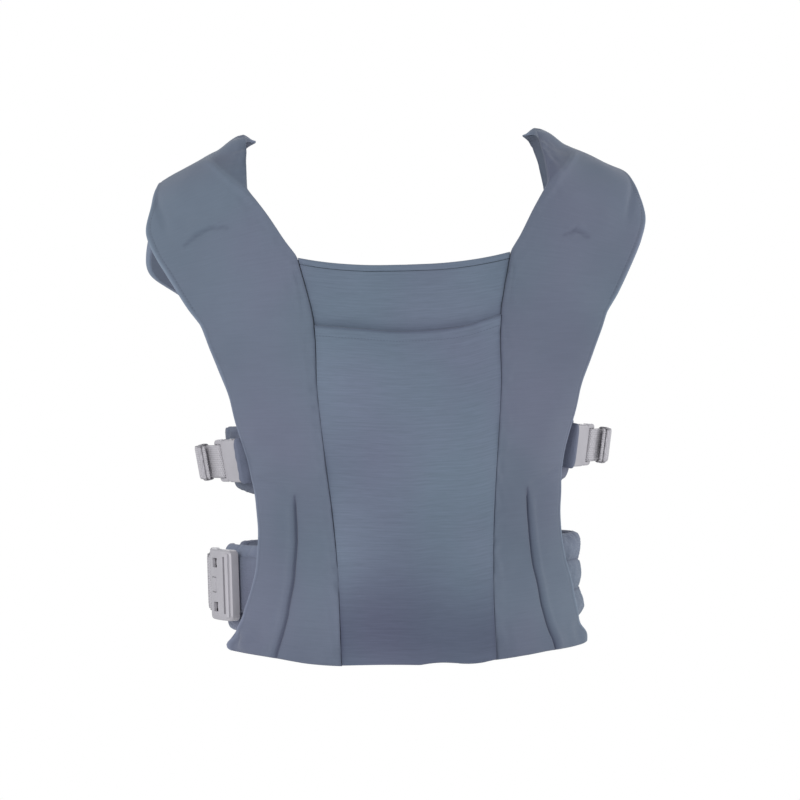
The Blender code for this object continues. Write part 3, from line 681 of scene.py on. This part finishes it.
def stitches(name, path, on, mat="thread", pitch=3.2 * MM, radius=0.24 * MM):
    """A row of raised stitches along a path, laid on an object's surface."""
    tree = BVHTree.FromPolygons([v.co[:] for v in on.data.vertices],
                                [tuple(p.vertices) for p in on.data.polygons])
    path = np.array(path, float)
    along = distances(path)
    count = max(2, round(along[-1] / pitch))
    starts = np.arange(count) * along[-1] / count
    points, faces, weave = [], [], []
    for start in starts:
        at = start + STITCH[:, 0] * along[-1] / count * STITCH_SHARE
        line = np.stack([np.interp(at, along, path[:, k]) for k in range(3)], -1)
        snapped, ups = [], []
        for p in line:
            place, normal, _, _ = tree.find_nearest(Vector(p))
            snapped.append(place[:])
            ups.append(normal[:])
        snapped, up = np.array(snapped), unit(np.array(ups).mean(0))
        forward = unit(snapped[-1] - snapped[0])
        sideways = unit(np.cross(forward, up))
        faces += tube_faces(len(STITCH), SIDES, len(points))
        for p, (_, width, lift) in zip(snapped, STITCH):
            for k in range(SIDES):
                a = k * math.tau / SIDES
                points.append(p + sideways * radius * width * math.cos(a)
                              + up * (radius * width * math.sin(a) + radius * lift
                                      - STITCH_SINK))
                weave.append((k * radius, start))
    return make_object(name, points, faces, weave, mat)


def ribbon(name, centres, across, ups, width, mat, body, replaces):
    """Webbing along centres, with rounded selvedges; across and ups are unit vectors."""
    columns = np.linspace(-1, 1, 13)
    profile = WEB / 2 * np.where(np.abs(columns) > 0.86, 1.12, 1.0) * np.sqrt(
        np.clip(1 - np.clip((np.abs(columns) - 0.93) / 0.07, 0, 1) ** 2, 0.02, 1))
    ring = [*zip(columns, profile), *zip(columns[::-1], -profile[::-1])]
    points = np.array([[p + a * c * width / 2 + n * h for c, h in ring]
                       for p, a, n in zip(centres, across, ups)])
    weave = np.array([[(c * width / 2, s) for c, h in ring] for s in distances(centres)])
    return make_object(name, points.reshape(-1, 3), tube_faces(*points.shape[:2]),
                       weave.reshape(-1, 2), mat, body, replaces, turn=True)


# ---- front panels ----
def lumps(*fields):
    """Relief of random swells: the height in mm, the seed and the wavelength of each."""
    return lambda u, v, p: sum(high * MM * ripple(p, seed, long) for high, seed, long in fields)


def hem_height(x):
    return curve(HEM, np.abs(x)) + HEM_WAVE * np.sin(np.abs(x) * 70 + x * 31)


def neck_height(x):
    return curve(NECKLINE, np.abs(x))


def pocket_height(x):
    return curve(POCKET_HEM, x)


def line_shade(p, line, width):
    return bell(near_line(p, line)[0], width)


def seam_shade(p):
    """How near points of the centre panels lie to the long seams, from 0 to 1."""
    return bell(curve(CENTRE_SEAM, p[..., 2]) - np.abs(p[..., 0]), 0.0022)


def inner_relief(u, v, p):
    """Gentle swell, a dip under the pocket hem and drag lines from the seams."""
    x, z = p[..., 0], p[..., 2]
    swell = 0.6 * MM * ripple(p, 3, 0.06)
    drag = (0.7 * MM * np.sin((z + 0.25 * x) * math.tau / 0.021)
            * bell(np.abs(x) - 0.078, 0.018) * smooth((z - 0.30) / 0.01))
    return (swell + drag) * smooth((z - 0.2) / 0.05)


def outer_relief(u, v, p):
    """The doubled pocket hem with its tucks, and a crowned, gently swelling panel."""
    x, z = p[..., 0], p[..., 2]
    below = pocket_height(x) - z
    hem = 0.9 * MM * smooth((0.013 - below) / 0.002)
    tuck = 0.9 * MM * ripple(p, 5, 0.017, (1, 0.2, 0.25)) * bell(below, 0.022)
    swell = 0.9 * MM * ripple(p, 6, 0.075, (1, 1, 0.6))
    crown = 1.0 * MM * (1 - (np.abs(x) / curve(CENTRE_SEAM, z)) ** 4)
    return hem + tuck * (0.35 + 0.65 * smooth((x - 0.02) / 0.05)) + swell + crown


def outer_shade(u, v, p):
    """Painted shade where the doubled pocket panel turns under at the hem, along its top edge
    and at seams.
    """
    x, z = p[..., 0], p[..., 2]
    # painted shade along the pocket's top edge
    hem = bell(pocket_height(x) - z - 0.0008, 0.0012)
    # painted shade, deepening towards the bottom hem
    low = 0.72 * smooth((0.105 - z) / 0.080) * (1 - 0.25 * smooth((0.02 - z) / 0.02))
    blotch = 0.06 * ripple(p, 70, 0.09)
    return np.clip(low + blotch + 0.25 * seam_shade(p) + 0.5 * hem, -0.3, 1)


def inner_shade(u, v, p):
    # painted shadow from the pocket's top edge, painted shade at the seams, and random tone
    under = 0.30 * bell(p[..., 2] - pocket_height(p[..., 0]), 0.007)
    return np.clip(0.25 * seam_shade(p) + under + 0.05 * ripple(p, 71, 0.08), -0.3, 1)


behind = centre_surface(hem_height, lambda x: neck_height(x) - BINDING)
Pad("centre_panel_lining", behind, 0, LINING, "lining", 7, 0.5, replaces=["centre_lining"])
Pad("inner_front_panel", behind, PANEL_NEAR, INNER_PANEL_FAR, "heathered", 3,
    (0.5, 0.5, 1.5, 0.3), relief=inner_relief, shade=inner_shade,
    replaces=["inner_centre_panel"])
Pad("outer_front_panel", centre_surface(hem_height, pocket_height),
    INNER_PANEL_FAR + 0.4 * MM, OUTER_PANEL_FAR, "heathered", 2.5, (0.5, 0.5, 1.2, 0.9),
    relief=outer_relief, shade=outer_shade, replaces=["outer_centre_panel"])
Pad("neckline_roll",
    centre_surface(lambda x: neck_height(x) - BINDING + 0.1 * MM, neck_height), 0,
    INNER_PANEL_FAR + 0.1 * MM, "heathered", 3, (0.4, 0.4, 0.3, 2.8),
    relief=lumps((0.15, 9, 0.008)), replaces=["neckline_binding"])

DART = [(0.1215, 0.002), (0.1165, 0.020), (0.109, 0.046), (0.103, 0.080), (0.100, 0.110),
        (0.100, 0.149)]
PULL = [(0.134, 0.168), (0.117, 0.159), (0.099, 0.150)]
ARM = [(0.2145, 0.435), (0.211, 0.412), (0.201, 0.375)]
NECK = [(0.0965, 0.347), (0.0925, 0.332), (0.0895, 0.300)]
FOLD = [(0.176, 0.458), (0.1315, 0.414)]               # the strap's neck corner turns back here
CREASES = {"left": [(0.188, 0.370), (0.177, 0.379), (0.166, 0.3845), (0.151, 0.384)],
           "right": [(0.141, 0.369), (0.152, 0.3735), (0.1635, 0.367)]}
EDGE_SPAN = 0.085                  # a front cover's usual width, for lines along its edges


def shifted(line, right, up):
    return [(x + right * MM, z + up * MM) for x, z in line]


def in_front(p):
    """1 on the front, fading out to 0 over the top of the shoulder."""
    return smooth((-p[..., 1] - 0.015) / 0.02)


def past_fold(p):
    """How far points lie beyond the fold at the strap's neck corner, in the X-Z plane."""
    (bx, bz), (ax, az) = FOLD
    along = unit(np.array((bx - ax, bz - az)))
    return (p[..., 2] - az) * along[0] - (p[..., 0] - ax) * along[1]


def cover_relief(side):
    """Relief of a front cover: dart, creases, rolled rim, hem and swell."""
    seed = 20 if side == "left" else 40
    crease = CREASES[side]
    lines = [(DART, 2.4, 1.2, 0.05), (shifted(DART, 4.5, 0), -1.0, 2.6, 0.1),
             (PULL, 1.3, 2.4, 0.25), (crease, 1.7, 2.2, 0.35),
             (shifted(crease, 0, 5), -0.8, 3.5, 0.3), (shifted(FOLD, 2, -2), -1.3, 2.5, 0.1),
             (ARM, 2.2, 3.4, 0.3), (NECK, 0.8, 1.2, 0.2)]    # depth and width in mm, fade

    def relief(u, v, p):
        x, z = p[..., 0], p[..., 2]
        up = z - curve(HEM, x)
        lower = sum(groove(p, line, depth * MM, width * MM, fade)
                    for line, depth, width, fade in lines)
        lower -= 5 * MM * np.tanh(np.maximum(past_fold(p), 0) / 0.019)
        lower += 0.7 * MM * smooth((0.012 - up) / 0.003)        # the doubled hem and its waves
        lower += 1.1 * MM * ripple(p, seed + 4, 0.026, (1, 1, 0.15)) * bell(up, 0.02)
        lower += (1.5 * MM * ripple(p, seed + 2, 0.019)         # crumples at the lower corner
                  * bell(x - 0.150, 0.014) * bell(z - 0.020, 0.016))
        lower += 0.4 * MM * ripple(p, seed + 3, 0.010) * bell(u * 0.09, 0.012)    # at the seam
        swell = 0.9 * MM * ripple(p, seed, 0.085) + 0.3 * MM * ripple(p, seed + 1, 0.03)
        rim = -0.45 * MM * bell((1 - u) * EDGE_SPAN - 0.0036, 0.0012)
        return swell + rim + lower * in_front(p)
    return relief


def cover_shade(side):
    """Painted shade along the darts, creases and seams, painted highlight on the rolled rims and
    the tip.
    """
    # painted shade on the right cover, a little painted light on the left
    painted_side_shade = 0.10 if side == "right" else -0.03

    def shade(u, v, p):
        x, z = p[..., 0], p[..., 2]
        edge = (1 - u) * EDGE_SPAN
        # painted shade in the darts and creases, past the fold, towards the hem and along the
        # centre seam
        lower = (0.55 * line_shade(p, DART, 0.9 * MM) + 0.18 * line_shade(p, DART, 3 * MM)
                 + 0.35 * line_shade(p, CREASES[side], 1.6 * MM)
                 + 0.34 * smooth(past_fold(p) / 0.003) + 0.16 * smooth((0.05 - z) / 0.05)
                 + 0.35 * bell(u * EDGE_SPAN, 0.0016) * (z < 0.357))
        # painted shade in the groove inside the rim, painted highlight on the rolled rim itself
        rim = 0.15 * bell(edge - 0.0034, 0.0010) - bell(edge - 0.0008, 0.0016)
        # painted highlight on the strap's pointed tip
        tip = -0.8 * smooth((0.1295 - x) / 0.003) * (z > 0.45)
        # random tone, plus the painted side shade
        cloud = 0.07 * ripple(p, 80, 0.10) + painted_side_shade
        return np.clip(lower * in_front(p) + rim + cloud + tip, -1, 1)
    return shade


def cover_far(u, v):
    """Outer offset of a front cover: fuller over the shoulder, thin at the neck's tip."""
    tip = bell(shoulder_v(v) * 180 - 91, 8) * smooth(1 - u / 0.14)
    return lerp(SIDE_PANEL_FAR, STRAP_FAR, smooth(shoulder_v(v) * 3)) - 5.6 * MM * tip


def inset(surface, u0, u1, v0, v1):
    """The same surface between the given shares of its width and length."""
    return lambda u, v: surface(lerp(u0, u1, u), lerp(v0, v1, v))


def seam_surface(u, v):
    """Tape behind the long seam between the centre and side panels."""
    z = lerp(0.006, 0.3560, v)
    taper = 1 - 0.75 * smooth((z - 0.338) / 0.015)
    return front_point(curve(CENTRE_SEAM, z) + lerp(-6 * taper, 6, u) * MM, z)


def tape_surface(u, v):
    """Tape behind the seam between the front cover's end and the back strap."""
    over = shoulder_surface(lerp(0.04, 0.96, u), lerp(0.965, 1.0, np.minimum(v * 2, 1)))
    under = back_surface(lerp(0.04, 0.96, u), lerp(0, 0.030, np.maximum(v * 2 - 1, 0)))
    return np.where((v < 0.5)[..., None], over, under)


def raised(far, lift):
    """An offset raised by lift(v), which takes the left strap over the right one."""
    return lambda u, v: far + lift(v)


for side, flip in (("left", True), ("right", False)):
    lift = crossing_lift if flip else (lambda v: 0.0 * v)
    lining_lift = lambda v, k=lift: k(lerp(0.005, 0.99, v))
    cover = hung_cover(side)
    Pad(side + "_front_cover", cover, PANEL_NEAR, cover_far, "knit", (1.1, 2.6),
        (0.5, 2.4, 2.4, 1.0), flip, cover_relief(side), cover_shade(side),
        [side + "_side_panel", side + "_shoulder_cover", side + "_shoulder_foam"])
    Pad(side + "_front_lining", inset(cover, 0.05, 0.985, 0.004, 0.999), 0, LINING, "lining",
        4, 0.5, flip, replaces=[side + "_side_lining", side + "_shoulder_lining"])
    Pad(side + "_back_strap", back_surface, raised(PANEL_NEAR, lift), raised(STRAP_FAR, lift),
        "knit", 3.5, (3.6, 3.6, 1.0, 3.0), flip,
        lumps((0.5, 60, 0.05), (0.3, 61, 0.02)),
        replaces=[side + "_back_cover", side + "_back_foam"])
    Pad(side + "_back_strap_lining", inset(back_surface, 0.03, 0.97, 0.005, 0.99),
        raised(0, lining_lift), raised(LINING, lining_lift), "lining", 7, 0.5, flip,
        replaces=[side + "_back_lining"])
    for name, surface in (("_seam_tape", seam_surface), ("_shoulder_tape", tape_surface)):
        Pad(side + name, surface, -0.9 * MM, -0.1 * MM, "lining", 4, 0.3, flip)
    Pad(side + "_wing_pad", wing_surface, 0, WING_FAR - 2.5 * MM, "band", 2.5,
        (4.2, 4.2, 2.0, 4.2), flip, shade=lambda u, v, p: 0.30 + 0.06 * ripple(p, 95, 0.03),
        replaces=[side + "_side_wing"])


# ---- waistband ----
def channel_depth(u, v):
    """Outer offset of the waistband: three rounded channels between the quilting lines."""
    z = lerp(BAND_HIGH, BAND_LOW, u)
    edges = [BAND_HIGH, *BAND_STITCHES, BAND_LOW]
    depth = np.full(np.shape(z), BAND_RIM)
    for top, low in zip(edges, edges[1:]):
        s = np.clip((z - low) / (top - low), 0, 1)
        bulge = np.sqrt(np.clip(1 - (2 * s - 1) ** 2, 0, 1)) ** 0.8
        depth = np.where((z <= top) & (z >= low), BAND_QUILTED + BAND_SWELL * bulge, depth)
    return depth


def band_shade(u, v, p):
    # painted shade along the quilting lines
    rows = sum(bell(p[..., 2] - z, 0.0010) for z in BAND_STITCHES)
    # painted light on the band's left front
    pale = 0.5 * smooth((-0.105 - p[..., 0]) / 0.025) * (p[..., 1] < 0)
    return np.clip(0.65 * rows + 0.05 * ripple(p, 90, 0.05) - pale, -1, 1)


for part, ends, rims in (("front", BAND_ENDS[:2], (4.0, 1.0)),
                         ("back", BAND_ENDS[2:], (1.0, 4.0))):
    band = band_surface(*ends)
    Pad("waistband_" + part, band, PANEL_NEAR, channel_depth, "band", (1.7, 3),
        (2.0, 2.0, *rims), shade=band_shade,
        replaces=[f"waistband_{part}_cover", f"waistband_{part}_foam"])
    Pad(f"waistband_{part}_inside", inset(band, 0.03, 0.97, 0.006, 0.994), 0, LINING, "lining",
        7, 0.5, replaces=[f"waistband_{part}_lining"])
Pad("care_tag", band_surface(150, 160, 0.045, 0.077, 0.001), -0.8 * MM, -0.4 * MM, "label", 3,
    0.2, replaces=["care_label"])


# ---- buckle frames ----
def side_frame(x, y, z, yaw, side):
    """place(t, n, k) for a side buckle: along it, outwards and up, from its front end."""
    a, lean = math.radians(yaw), math.radians(SIDE_LEAN)
    along = np.array((-math.sin(a) * side, math.cos(a), 0))
    flat = np.array((-math.cos(a) * side, -math.sin(a), 0))
    up = np.array((0, 0, 1.0))
    out = flat * math.cos(lean) - up * math.sin(lean)
    top = up * math.cos(lean) + flat * math.sin(lean)

    def place(t, n, k):
        return np.array((x, y, z)) + along * t + out * n + top * k
    place.out = out
    return place


def waist_frame(t, n, k):
    """The same for the waist buckle, whose way along is an arc."""
    a = math.radians(WAIST_ARC_START) - t / WAIST_BEND_RADIUS
    r = WAIST_ARC_RADIUS + n
    return WAIST_ARC + np.array((-r * math.cos(a), -r * math.sin(a), k))


LEFT = side_frame(-0.1426, -0.0668, 0.1825, 31.3, 1)
RIGHT = side_frame(0.1456, -0.0555, 0.1855, 35.0, -1)


def web_in_frame(name, path, place, width, body, replaces):
    """Webbing whose (t, n) path lies in a buckle's frame."""
    path = rail([(t, n, 0) for t, n in path], np.linspace(0, 1, 90))
    steps = unit(np.gradient(path, axis=0))
    centres, across, ups = [], [], []
    for (t, n, _), (dt, dn, _) in zip(path, steps):
        here = place(t, n, 0)
        ahead = unit(place(t + dt * 1e-4, n + dn * 1e-4, 0) - here)
        centres.append(here)
        across.append(unit(place(t, n, 1e-3) - here))
        ups.append(unit(np.cross(across[-1], ahead)))
    return ribbon(name, np.array(centres), across, ups, width, "webbing", body, replaces)


TAIL_GAP = 5 * MM                  # between the two layers of a folded tail


def folded_tail(start, top, end, reach):
    """Free webbing end: up through the slot, over the bar, folded back on itself."""
    fold = top + TAIL_GAP
    mid, r = (top + fold) / 2, (fold - top) / 2
    path = [start, (start[0], lerp(start[1], top, 0.7)),
            (start[0] + 0.6 * MM, top - 0.7 * MM), (start[0] + 2 * MM, top)]
    path += [(t, top) for t in np.linspace(start[0] + 6 * MM, end - 2 * MM, 5)]
    path += [(end - 2 * MM + r * math.sin(a), mid - r * math.cos(a))
             for a in np.radians((36, 72, 108, 144))]
    path += [(t, fold) for t in np.linspace(end - 2 * MM, reach, 4)]
    return path


def keeper(name, t0, t1, n0, n1, width, place, body, replaces):
    """Elastic loop round the folded tail, with rounded corners."""
    wall, half, r = 1.0 * MM, width / 2, 1.6 * MM      # r: radius of its corners
    section = [(t0, 0.15), (t0 + 0.3 * MM, 1.0), ((t0 + t1) / 2, 1.08), (t1 - 0.3 * MM, 1.0),
               (t1, 0.15)]             # along the tail, and its share of the wall there
    section = ([(t, r + wall * (0.5 + 0.5 * h)) for t, h in section]
               + [(t, r + wall * (0.5 - 0.5 * h)) for t, h in section[::-1]])
    corners = [(half - r, n1 - r), (-half + r, n1 - r), (-half + r, n0 + r), (half - r, n0 + r)]
    points, weave = [], []
    for i in range(24):
        ck, cn = corners[i // 6]
        a = math.radians(90 * (i // 6) + 18 * (i % 6))
        for t, far in section:
            points.append(place(t, cn + math.sin(a) * far, ck + math.cos(a) * far))
            weave.append((t, i * 3 * MM))
    faces = tube_faces(24, len(section), closed=True)
    return make_object(name, points, faces, weave, "elastic", body, replaces, turn=True)


for side, place in (("left", LEFT), ("right", RIGHT)):
    web_in_frame(side + "_tail", folded_tail((27.6 * MM, 2.0 * MM), 8.6 * MM, 60 * MM, 43 * MM),
                 place, SIDE_WEB, side + "_slider", [side + "_webbing_tail"])
    keeper(side + "_keeper_band", 47 * MM, 52 * MM, 7.4 * MM, 14.8 * MM, SIDE_WEB + MM, place,
           side + "_keeper_loop", [side + "_keeper"])
web_in_frame("waist_tail_webbing",
             folded_tail((62 * MM, 4.4 * MM), 12.6 * MM, 116 * MM, 88 * MM), waist_frame,
             WAIST_WEB, "waist_slider", ["waist_tail"])
keeper("waist_keeper_band", 98 * MM, 104 * MM, 11.2 * MM, 19.0 * MM, WAIST_WEB + MM,
       waist_frame, "waist_keeper_loop", ["waist_keeper"])

TAB = [(-13, -7.5), (-8, -5.0), (-4.5, -0.5), (-3.2, 5.0), (-2.4, 8.8), (-1.2, 9.9),
       (0.3, 10.0), (2.0, 9.9)]    # its path in the buckle's frame, in mm


def tab_surface(place):
    """Fabric tab from the wing over a female half's front end, narrower at its own end."""
    line = [(t * MM, n * MM, 0) for t, n in TAB]

    def surface(u, v):
        path = rail(line, v)
        half = (20.6 - 2.2 * (2 * u - 1) ** 2 * smooth((v - 0.75) * 4)) * MM
        k = (2 * u - 1) * half
        t, n = path[..., 0], path[..., 1] - 1.2 * MM * np.abs(2 * u - 1) ** 6
        parts = [place(t[i], n[i], k[i]) for i in np.ndindex(t.shape)]
        return np.array(parts).reshape(*t.shape, 3)
    return surface


for side, place, offsets in (("left", LEFT, (-2.4 * MM, -0.2 * MM)),
                             ("right", RIGHT, (0.2 * MM, 2.4 * MM))):
    Pad(side + "_buckle_tab", tab_surface(place), *offsets, "band", 2.2, 1.0,
        relief=lumps((0.25, 97, 0.012)),
        shade=lambda u, v, p: 0.45 * bell(v - 0.82, 0.02) + 0.12)


def strap_web(side, place, way):
    """Webbing from under the male half, in an arc, onto the end of the back strap.

    Returns it with the middles of its sewn end and the way to its stitched edges.
    """
    flip = np.array((way, 1, 1))
    upper, lower = (rib[2] for rib in BACK_RIBS[-1])
    u = np.array([(upper - WEB_HEIGHT) / (upper - lower)])

    def strap_end(v):
        v = np.array([v])
        p, n = back_surface(u, v)[0], normal_of(back_surface, u, v)[0]
        return (p + n * (STRAP_FAR + WEB_LIFT + WEB / 2)) * flip, n * flip

    sewn = [strap_end(v) for v in (0.98, 0.95, 0.92, 0.89)]
    start, leave = place(38 * MM, WEB_DROP, 0), place(52 * MM, WEB_DROP, 0)
    arrive = sewn[0][0] + unit(sewn[0][0] - sewn[1][0]) * 25 * MM
    path = [(place(t * MM, WEB_DROP, 0), place.out) for t in (24, 31, 38)]
    for s in (0.2, 0.4, 0.6, 0.8):
        p = (start * (1 - s)**3 + leave * 3 * s * (1 - s)**2 + arrive * 3 * s * s * (1 - s)
             + sewn[0][0] * s**3)
        path.append((p, lerp(place.out, sewn[0][1], s)))
    path += sewn
    steps = np.linspace(0, 1, 60)
    centres = rail([p for p, _ in path], steps)
    normals = unit(rail([n for _, n in path], steps))
    along = unit(np.gradient(centres, axis=0))
    across = unit(np.cross(along, normals))
    across *= np.where(across[:, 2:] < 0, -1, 1)
    ups = unit(np.cross(along, across))
    web = ribbon(side + "_strap_web", centres, across, ups, SIDE_WEB, "webbing", "root",
                 [side + "_strap_webbing"])
    return web, centres[SEWN], across[SEWN] * (SIDE_WEB / 2 - WEB_SEAM)


sewn_ends = {"left": strap_web("left", LEFT, 1), "right": strap_web("right", RIGHT, -1)}


def belt(name, start, end, mat, replaces):
    """Waist webbing sewn along the outside of the band, with its middles and edge."""
    angles = np.linspace(start, end, max(12, round(abs(end - start) / 2)))
    z = np.full(angles.shape, WAIST_ARC[2])
    base = torso_point(angles, z)
    ahead = unit(np.gradient(base, axis=0))
    up = np.tile((0.0, 0.0, 1.0), (len(angles), 1))
    out = unit(np.cross(ahead, up))
    centres = base + out * (BAND_FAR + 0.4 * MM + WEB / 2)
    edge = up * (WAIST_WEB / 2 - WEB_SEAM)
    return ribbon(name, centres, up, out, WAIST_WEB, mat, "root", replaces), centres, edge


belt("waist_anchor_web", -79, -54, "band", ["waist_female_webbing"])
belt_web = belt("waist_belt_web", 112, 275, "webbing", ["waist_belt"])


# ---- filling: the padded pieces are inflated with the cloth solver ----
HELD = 1.3 * MM                    # what lies this near a quilting line stays down
for part in ("front", "back"):
    band = PADS["waistband_" + part]
    lines = sum(np.abs(band.from_side - (BAND_HIGH - z)) < HELD for z in BAND_STITCHES) > 0
    puff(band, [lines], 5.0, 2.4 * MM, 0.04)
for side in ("left", "right"):
    puff(PADS[side + "_wing_pad"], [], 5.0, 2.5 * MM, 0.04)
    back = PADS[side + "_back_strap"]
    puff(back, [back.from_side < 6 * MM, back.widths[:, None] - back.from_side < 6 * MM], 3.0,
         1.6 * MM, 0.025)

# ---- stitching ----
for side in ("left", "right"):
    back, cover = PADS[side + "_back_strap"], PADS[side + "_front_cover"]
    wing = PADS[side + "_wing_pad"]
    for name, pad, line in (
            ("_back_stitch_upper", back, back.along(6 * MM, 0.02, 0.98)),
            ("_back_stitch_lower", back, back.along(-6 * MM, 0.02, 0.98)),
            ("_back_stitch_start", back, back.across(5 * MM, 0.08, 0.92)),
            ("_back_stitch_end", back, back.across(-6 * MM, 0.08, 0.92)),
            ("_cover_stitch", cover, cover.along(-5.5 * MM, 0.44, 0.99)),
            ("_cover_end_stitch", cover, cover.across(-5 * MM, 0.08, 0.92)),
            ("_wing_stitch", wing, wing.along(5.5 * MM, 0.05, 0.9))):
        stitches(side + name, line, pad.obj)
pocket = PADS["outer_front_panel"]
stitches("pocket_hem_stitch", pocket.across(-9 * MM, 0.05, 0.95), pocket.obj, pitch=2.8 * MM,
         radius=0.2 * MM)


def sew_round(name, web, centres, edge, cross=True):
    """A box of stitches along both edges and across both ends, crossed corner to corner."""
    upper, lower = centres + edge, centres - edge
    rows = {"box_stitch": np.vstack([upper, lower[::-1], upper[:1]])}
    if cross:
        share = np.linspace(0, 1, len(centres))[:, None]
        rows |= {"cross_stitch_1": lerp(upper, lower, share),
                 "cross_stitch_2": lerp(lower, upper, share)}
    for row, line in rows.items():
        stitches(f"{name}_{row}", line, web, "grey_thread", 2.6 * MM, 0.26 * MM)


for side in ("left", "right"):
    sew_round(side + "_strap_web", *sewn_ends[side])
sew_round("waist_belt_web", *belt_web, cross=False)
for part in ("front", "back"):
    band = PADS["waistband_" + part]
    for number, z in enumerate(BAND_STITCHES, 1):
        stitches(f"waistband_{part}_stitch_{number}", band.along(BAND_HIGH - z, 0.02, 0.98),
                 band.obj)

# ---- buckles: the CAD nodes, with their edges rounded ----
EDGE_RADIUS, SHARP = 0.45 * MM, math.radians(32)       # edges sharper than this are rounded
for name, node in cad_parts.items():
    if name.endswith(("_female", "_male", "_arm_upper", "_arm_lower", "_button")):
        weld = node.modifiers.new("weld", "WELD")
        weld.merge_threshold = 0.02 * MM
        bevel = node.modifiers.new("round", "BEVEL")
        bevel.width, bevel.segments = EDGE_RADIUS, 3
        bevel.limit_method, bevel.angle_limit = "ANGLE", SHARP
        bevel.harden_normals = True
        node.data.materials.clear()
        node.data.materials.append(PLASTIC)

# ---- camera, light and floor ----
scene.view_settings.view_transform = "Standard"
VIEW_TURN = math.radians(-5)       # the camera stands a little to the left of the middle
CAMERA_ROLL = -1.9                 # degrees; the carrier hangs a little askew
CAMERA_FAR, CAMERA_LENS = 2.5, 129.3
target = Vector((-0.0091, -0.12, 0.2305))
away = Vector((math.sin(VIEW_TURN), -math.cos(VIEW_TURN), 0))


def aimed(name, data, place, way):
    """A camera or light at a place, looking along a direction."""
    obj = bpy.data.objects.new(name, data)
    obj.location = place
    obj.rotation_mode = "QUATERNION"
    obj.rotation_quaternion = way.to_track_quat("-Z", "Y")
    scene.collection.objects.link(obj)
    return obj


camera = aimed("camera", bpy.data.cameras.new("camera"), target + away * CAMERA_FAR, -away)
camera.rotation_quaternion = (Quaternion(away, math.radians(CAMERA_ROLL))
                              @ camera.rotation_quaternion)
camera.data.sensor_width, camera.data.lens = 36, CAMERA_LENS
camera.data.clip_end = 30
scene.camera = camera

world = bpy.data.worlds.new("studio")
scene.world = world
world.use_nodes = True
nodes, links = world.node_tree.nodes, world.node_tree.links
seen, lit = nodes["Background"], nodes.new("ShaderNodeBackground")
for node, colour, strength in ((seen, (1, 1, 1, 1), 1.0), (lit, (0.96, 0.98, 1, 1), 0.62)):
    node.inputs["Color"].default_value = colour
    node.inputs["Strength"].default_value = strength
path, mix = nodes.new("ShaderNodeLightPath"), nodes.new("ShaderNodeMixShader")
links.new(path.outputs["Is Camera Ray"], mix.inputs["Fac"])
links.new(lit.outputs["Background"], mix.inputs[1])
links.new(seen.outputs["Background"], mix.inputs[2])
links.new(mix.outputs["Shader"], nodes["World Output"].inputs["Surface"])


LIGHT_TARGET = Vector((0, 0, 0.25))
FLOOR_RADIUS, FLOOR_HEIGHT = 1.1, -0.45


def softbox(name, place, size, power, colour=(1, 1, 1)):
    data = bpy.data.lights.new(name, "AREA")
    data.shape, data.size, data.energy, data.color = "DISK", size, power, colour
    aimed(name, data, place, LIGHT_TARGET - Vector(place))


softbox("key", (-1.1, -2.2, 1.0), 1.3, 28)
softbox("fill", (1.7, -1.7, 0.5), 1.4, 4)
softbox("left_rim", (-1.9, 0.5, 0.5), 1.0, 8)
softbox("right_rim", (1.9, 0.2, 0.4), 1.0, 17)
softbox("back", (0.3, 2.2, 1.2), 1.4, 13)

data = bmesh.new()
bmesh.ops.create_circle(data, cap_ends=True, radius=FLOOR_RADIUS, segments=96)
floor_mesh = bpy.data.meshes.new("floor")
data.to_mesh(floor_mesh)
data.free()
floor = bpy.data.objects.new("floor", floor_mesh)
floor.location = (0, 0, FLOOR_HEIGHT)
scene.collection.objects.link(floor)
floor_mesh.materials.append(Shade("pale_floor", (0.9, 0.9, 0.9), 0.9).mat)

# Flat cuts without seam allowance: width, length and area in metres, and what each lies on.
CUTS = {"left_buckle_tab": (0.041, 0.028, 0.00105, "left_wing_pad"),
        "right_buckle_tab": (0.041, 0.028, 0.00105, "right_wing_pad"),
        "centre_panel_lining": (0.186, 0.343, 0.0516, "inner_front_panel"),
        "inner_front_panel": (0.186, 0.343, 0.0525, "centre_panel_lining"),
        "outer_front_panel": (0.165, 0.292, 0.0445, "inner_front_panel"),
        "waistband_front_inside": (0.073, 0.412, 0.0300, "waistband_front"),
        "waistband_back_inside": (0.073, 0.367, 0.0267, "waistband_back"),
        "care_tag": (0.032, 0.025, 0.0008, "waistband_back_inside")}
for side in ("left", "right"):
    CUTS |= {side + "_front_lining": (0.112, 0.710, 0.0600, side + "_front_cover"),
             side + "_back_strap_lining": (0.084, 0.311, 0.0205, side + "_back_strap"),
             side + "_seam_tape": (0.0125, 0.345, 0.0043, side + "_front_lining"),
             side + "_shoulder_tape": (0.077, 0.031, 0.0019, side + "_front_lining")}
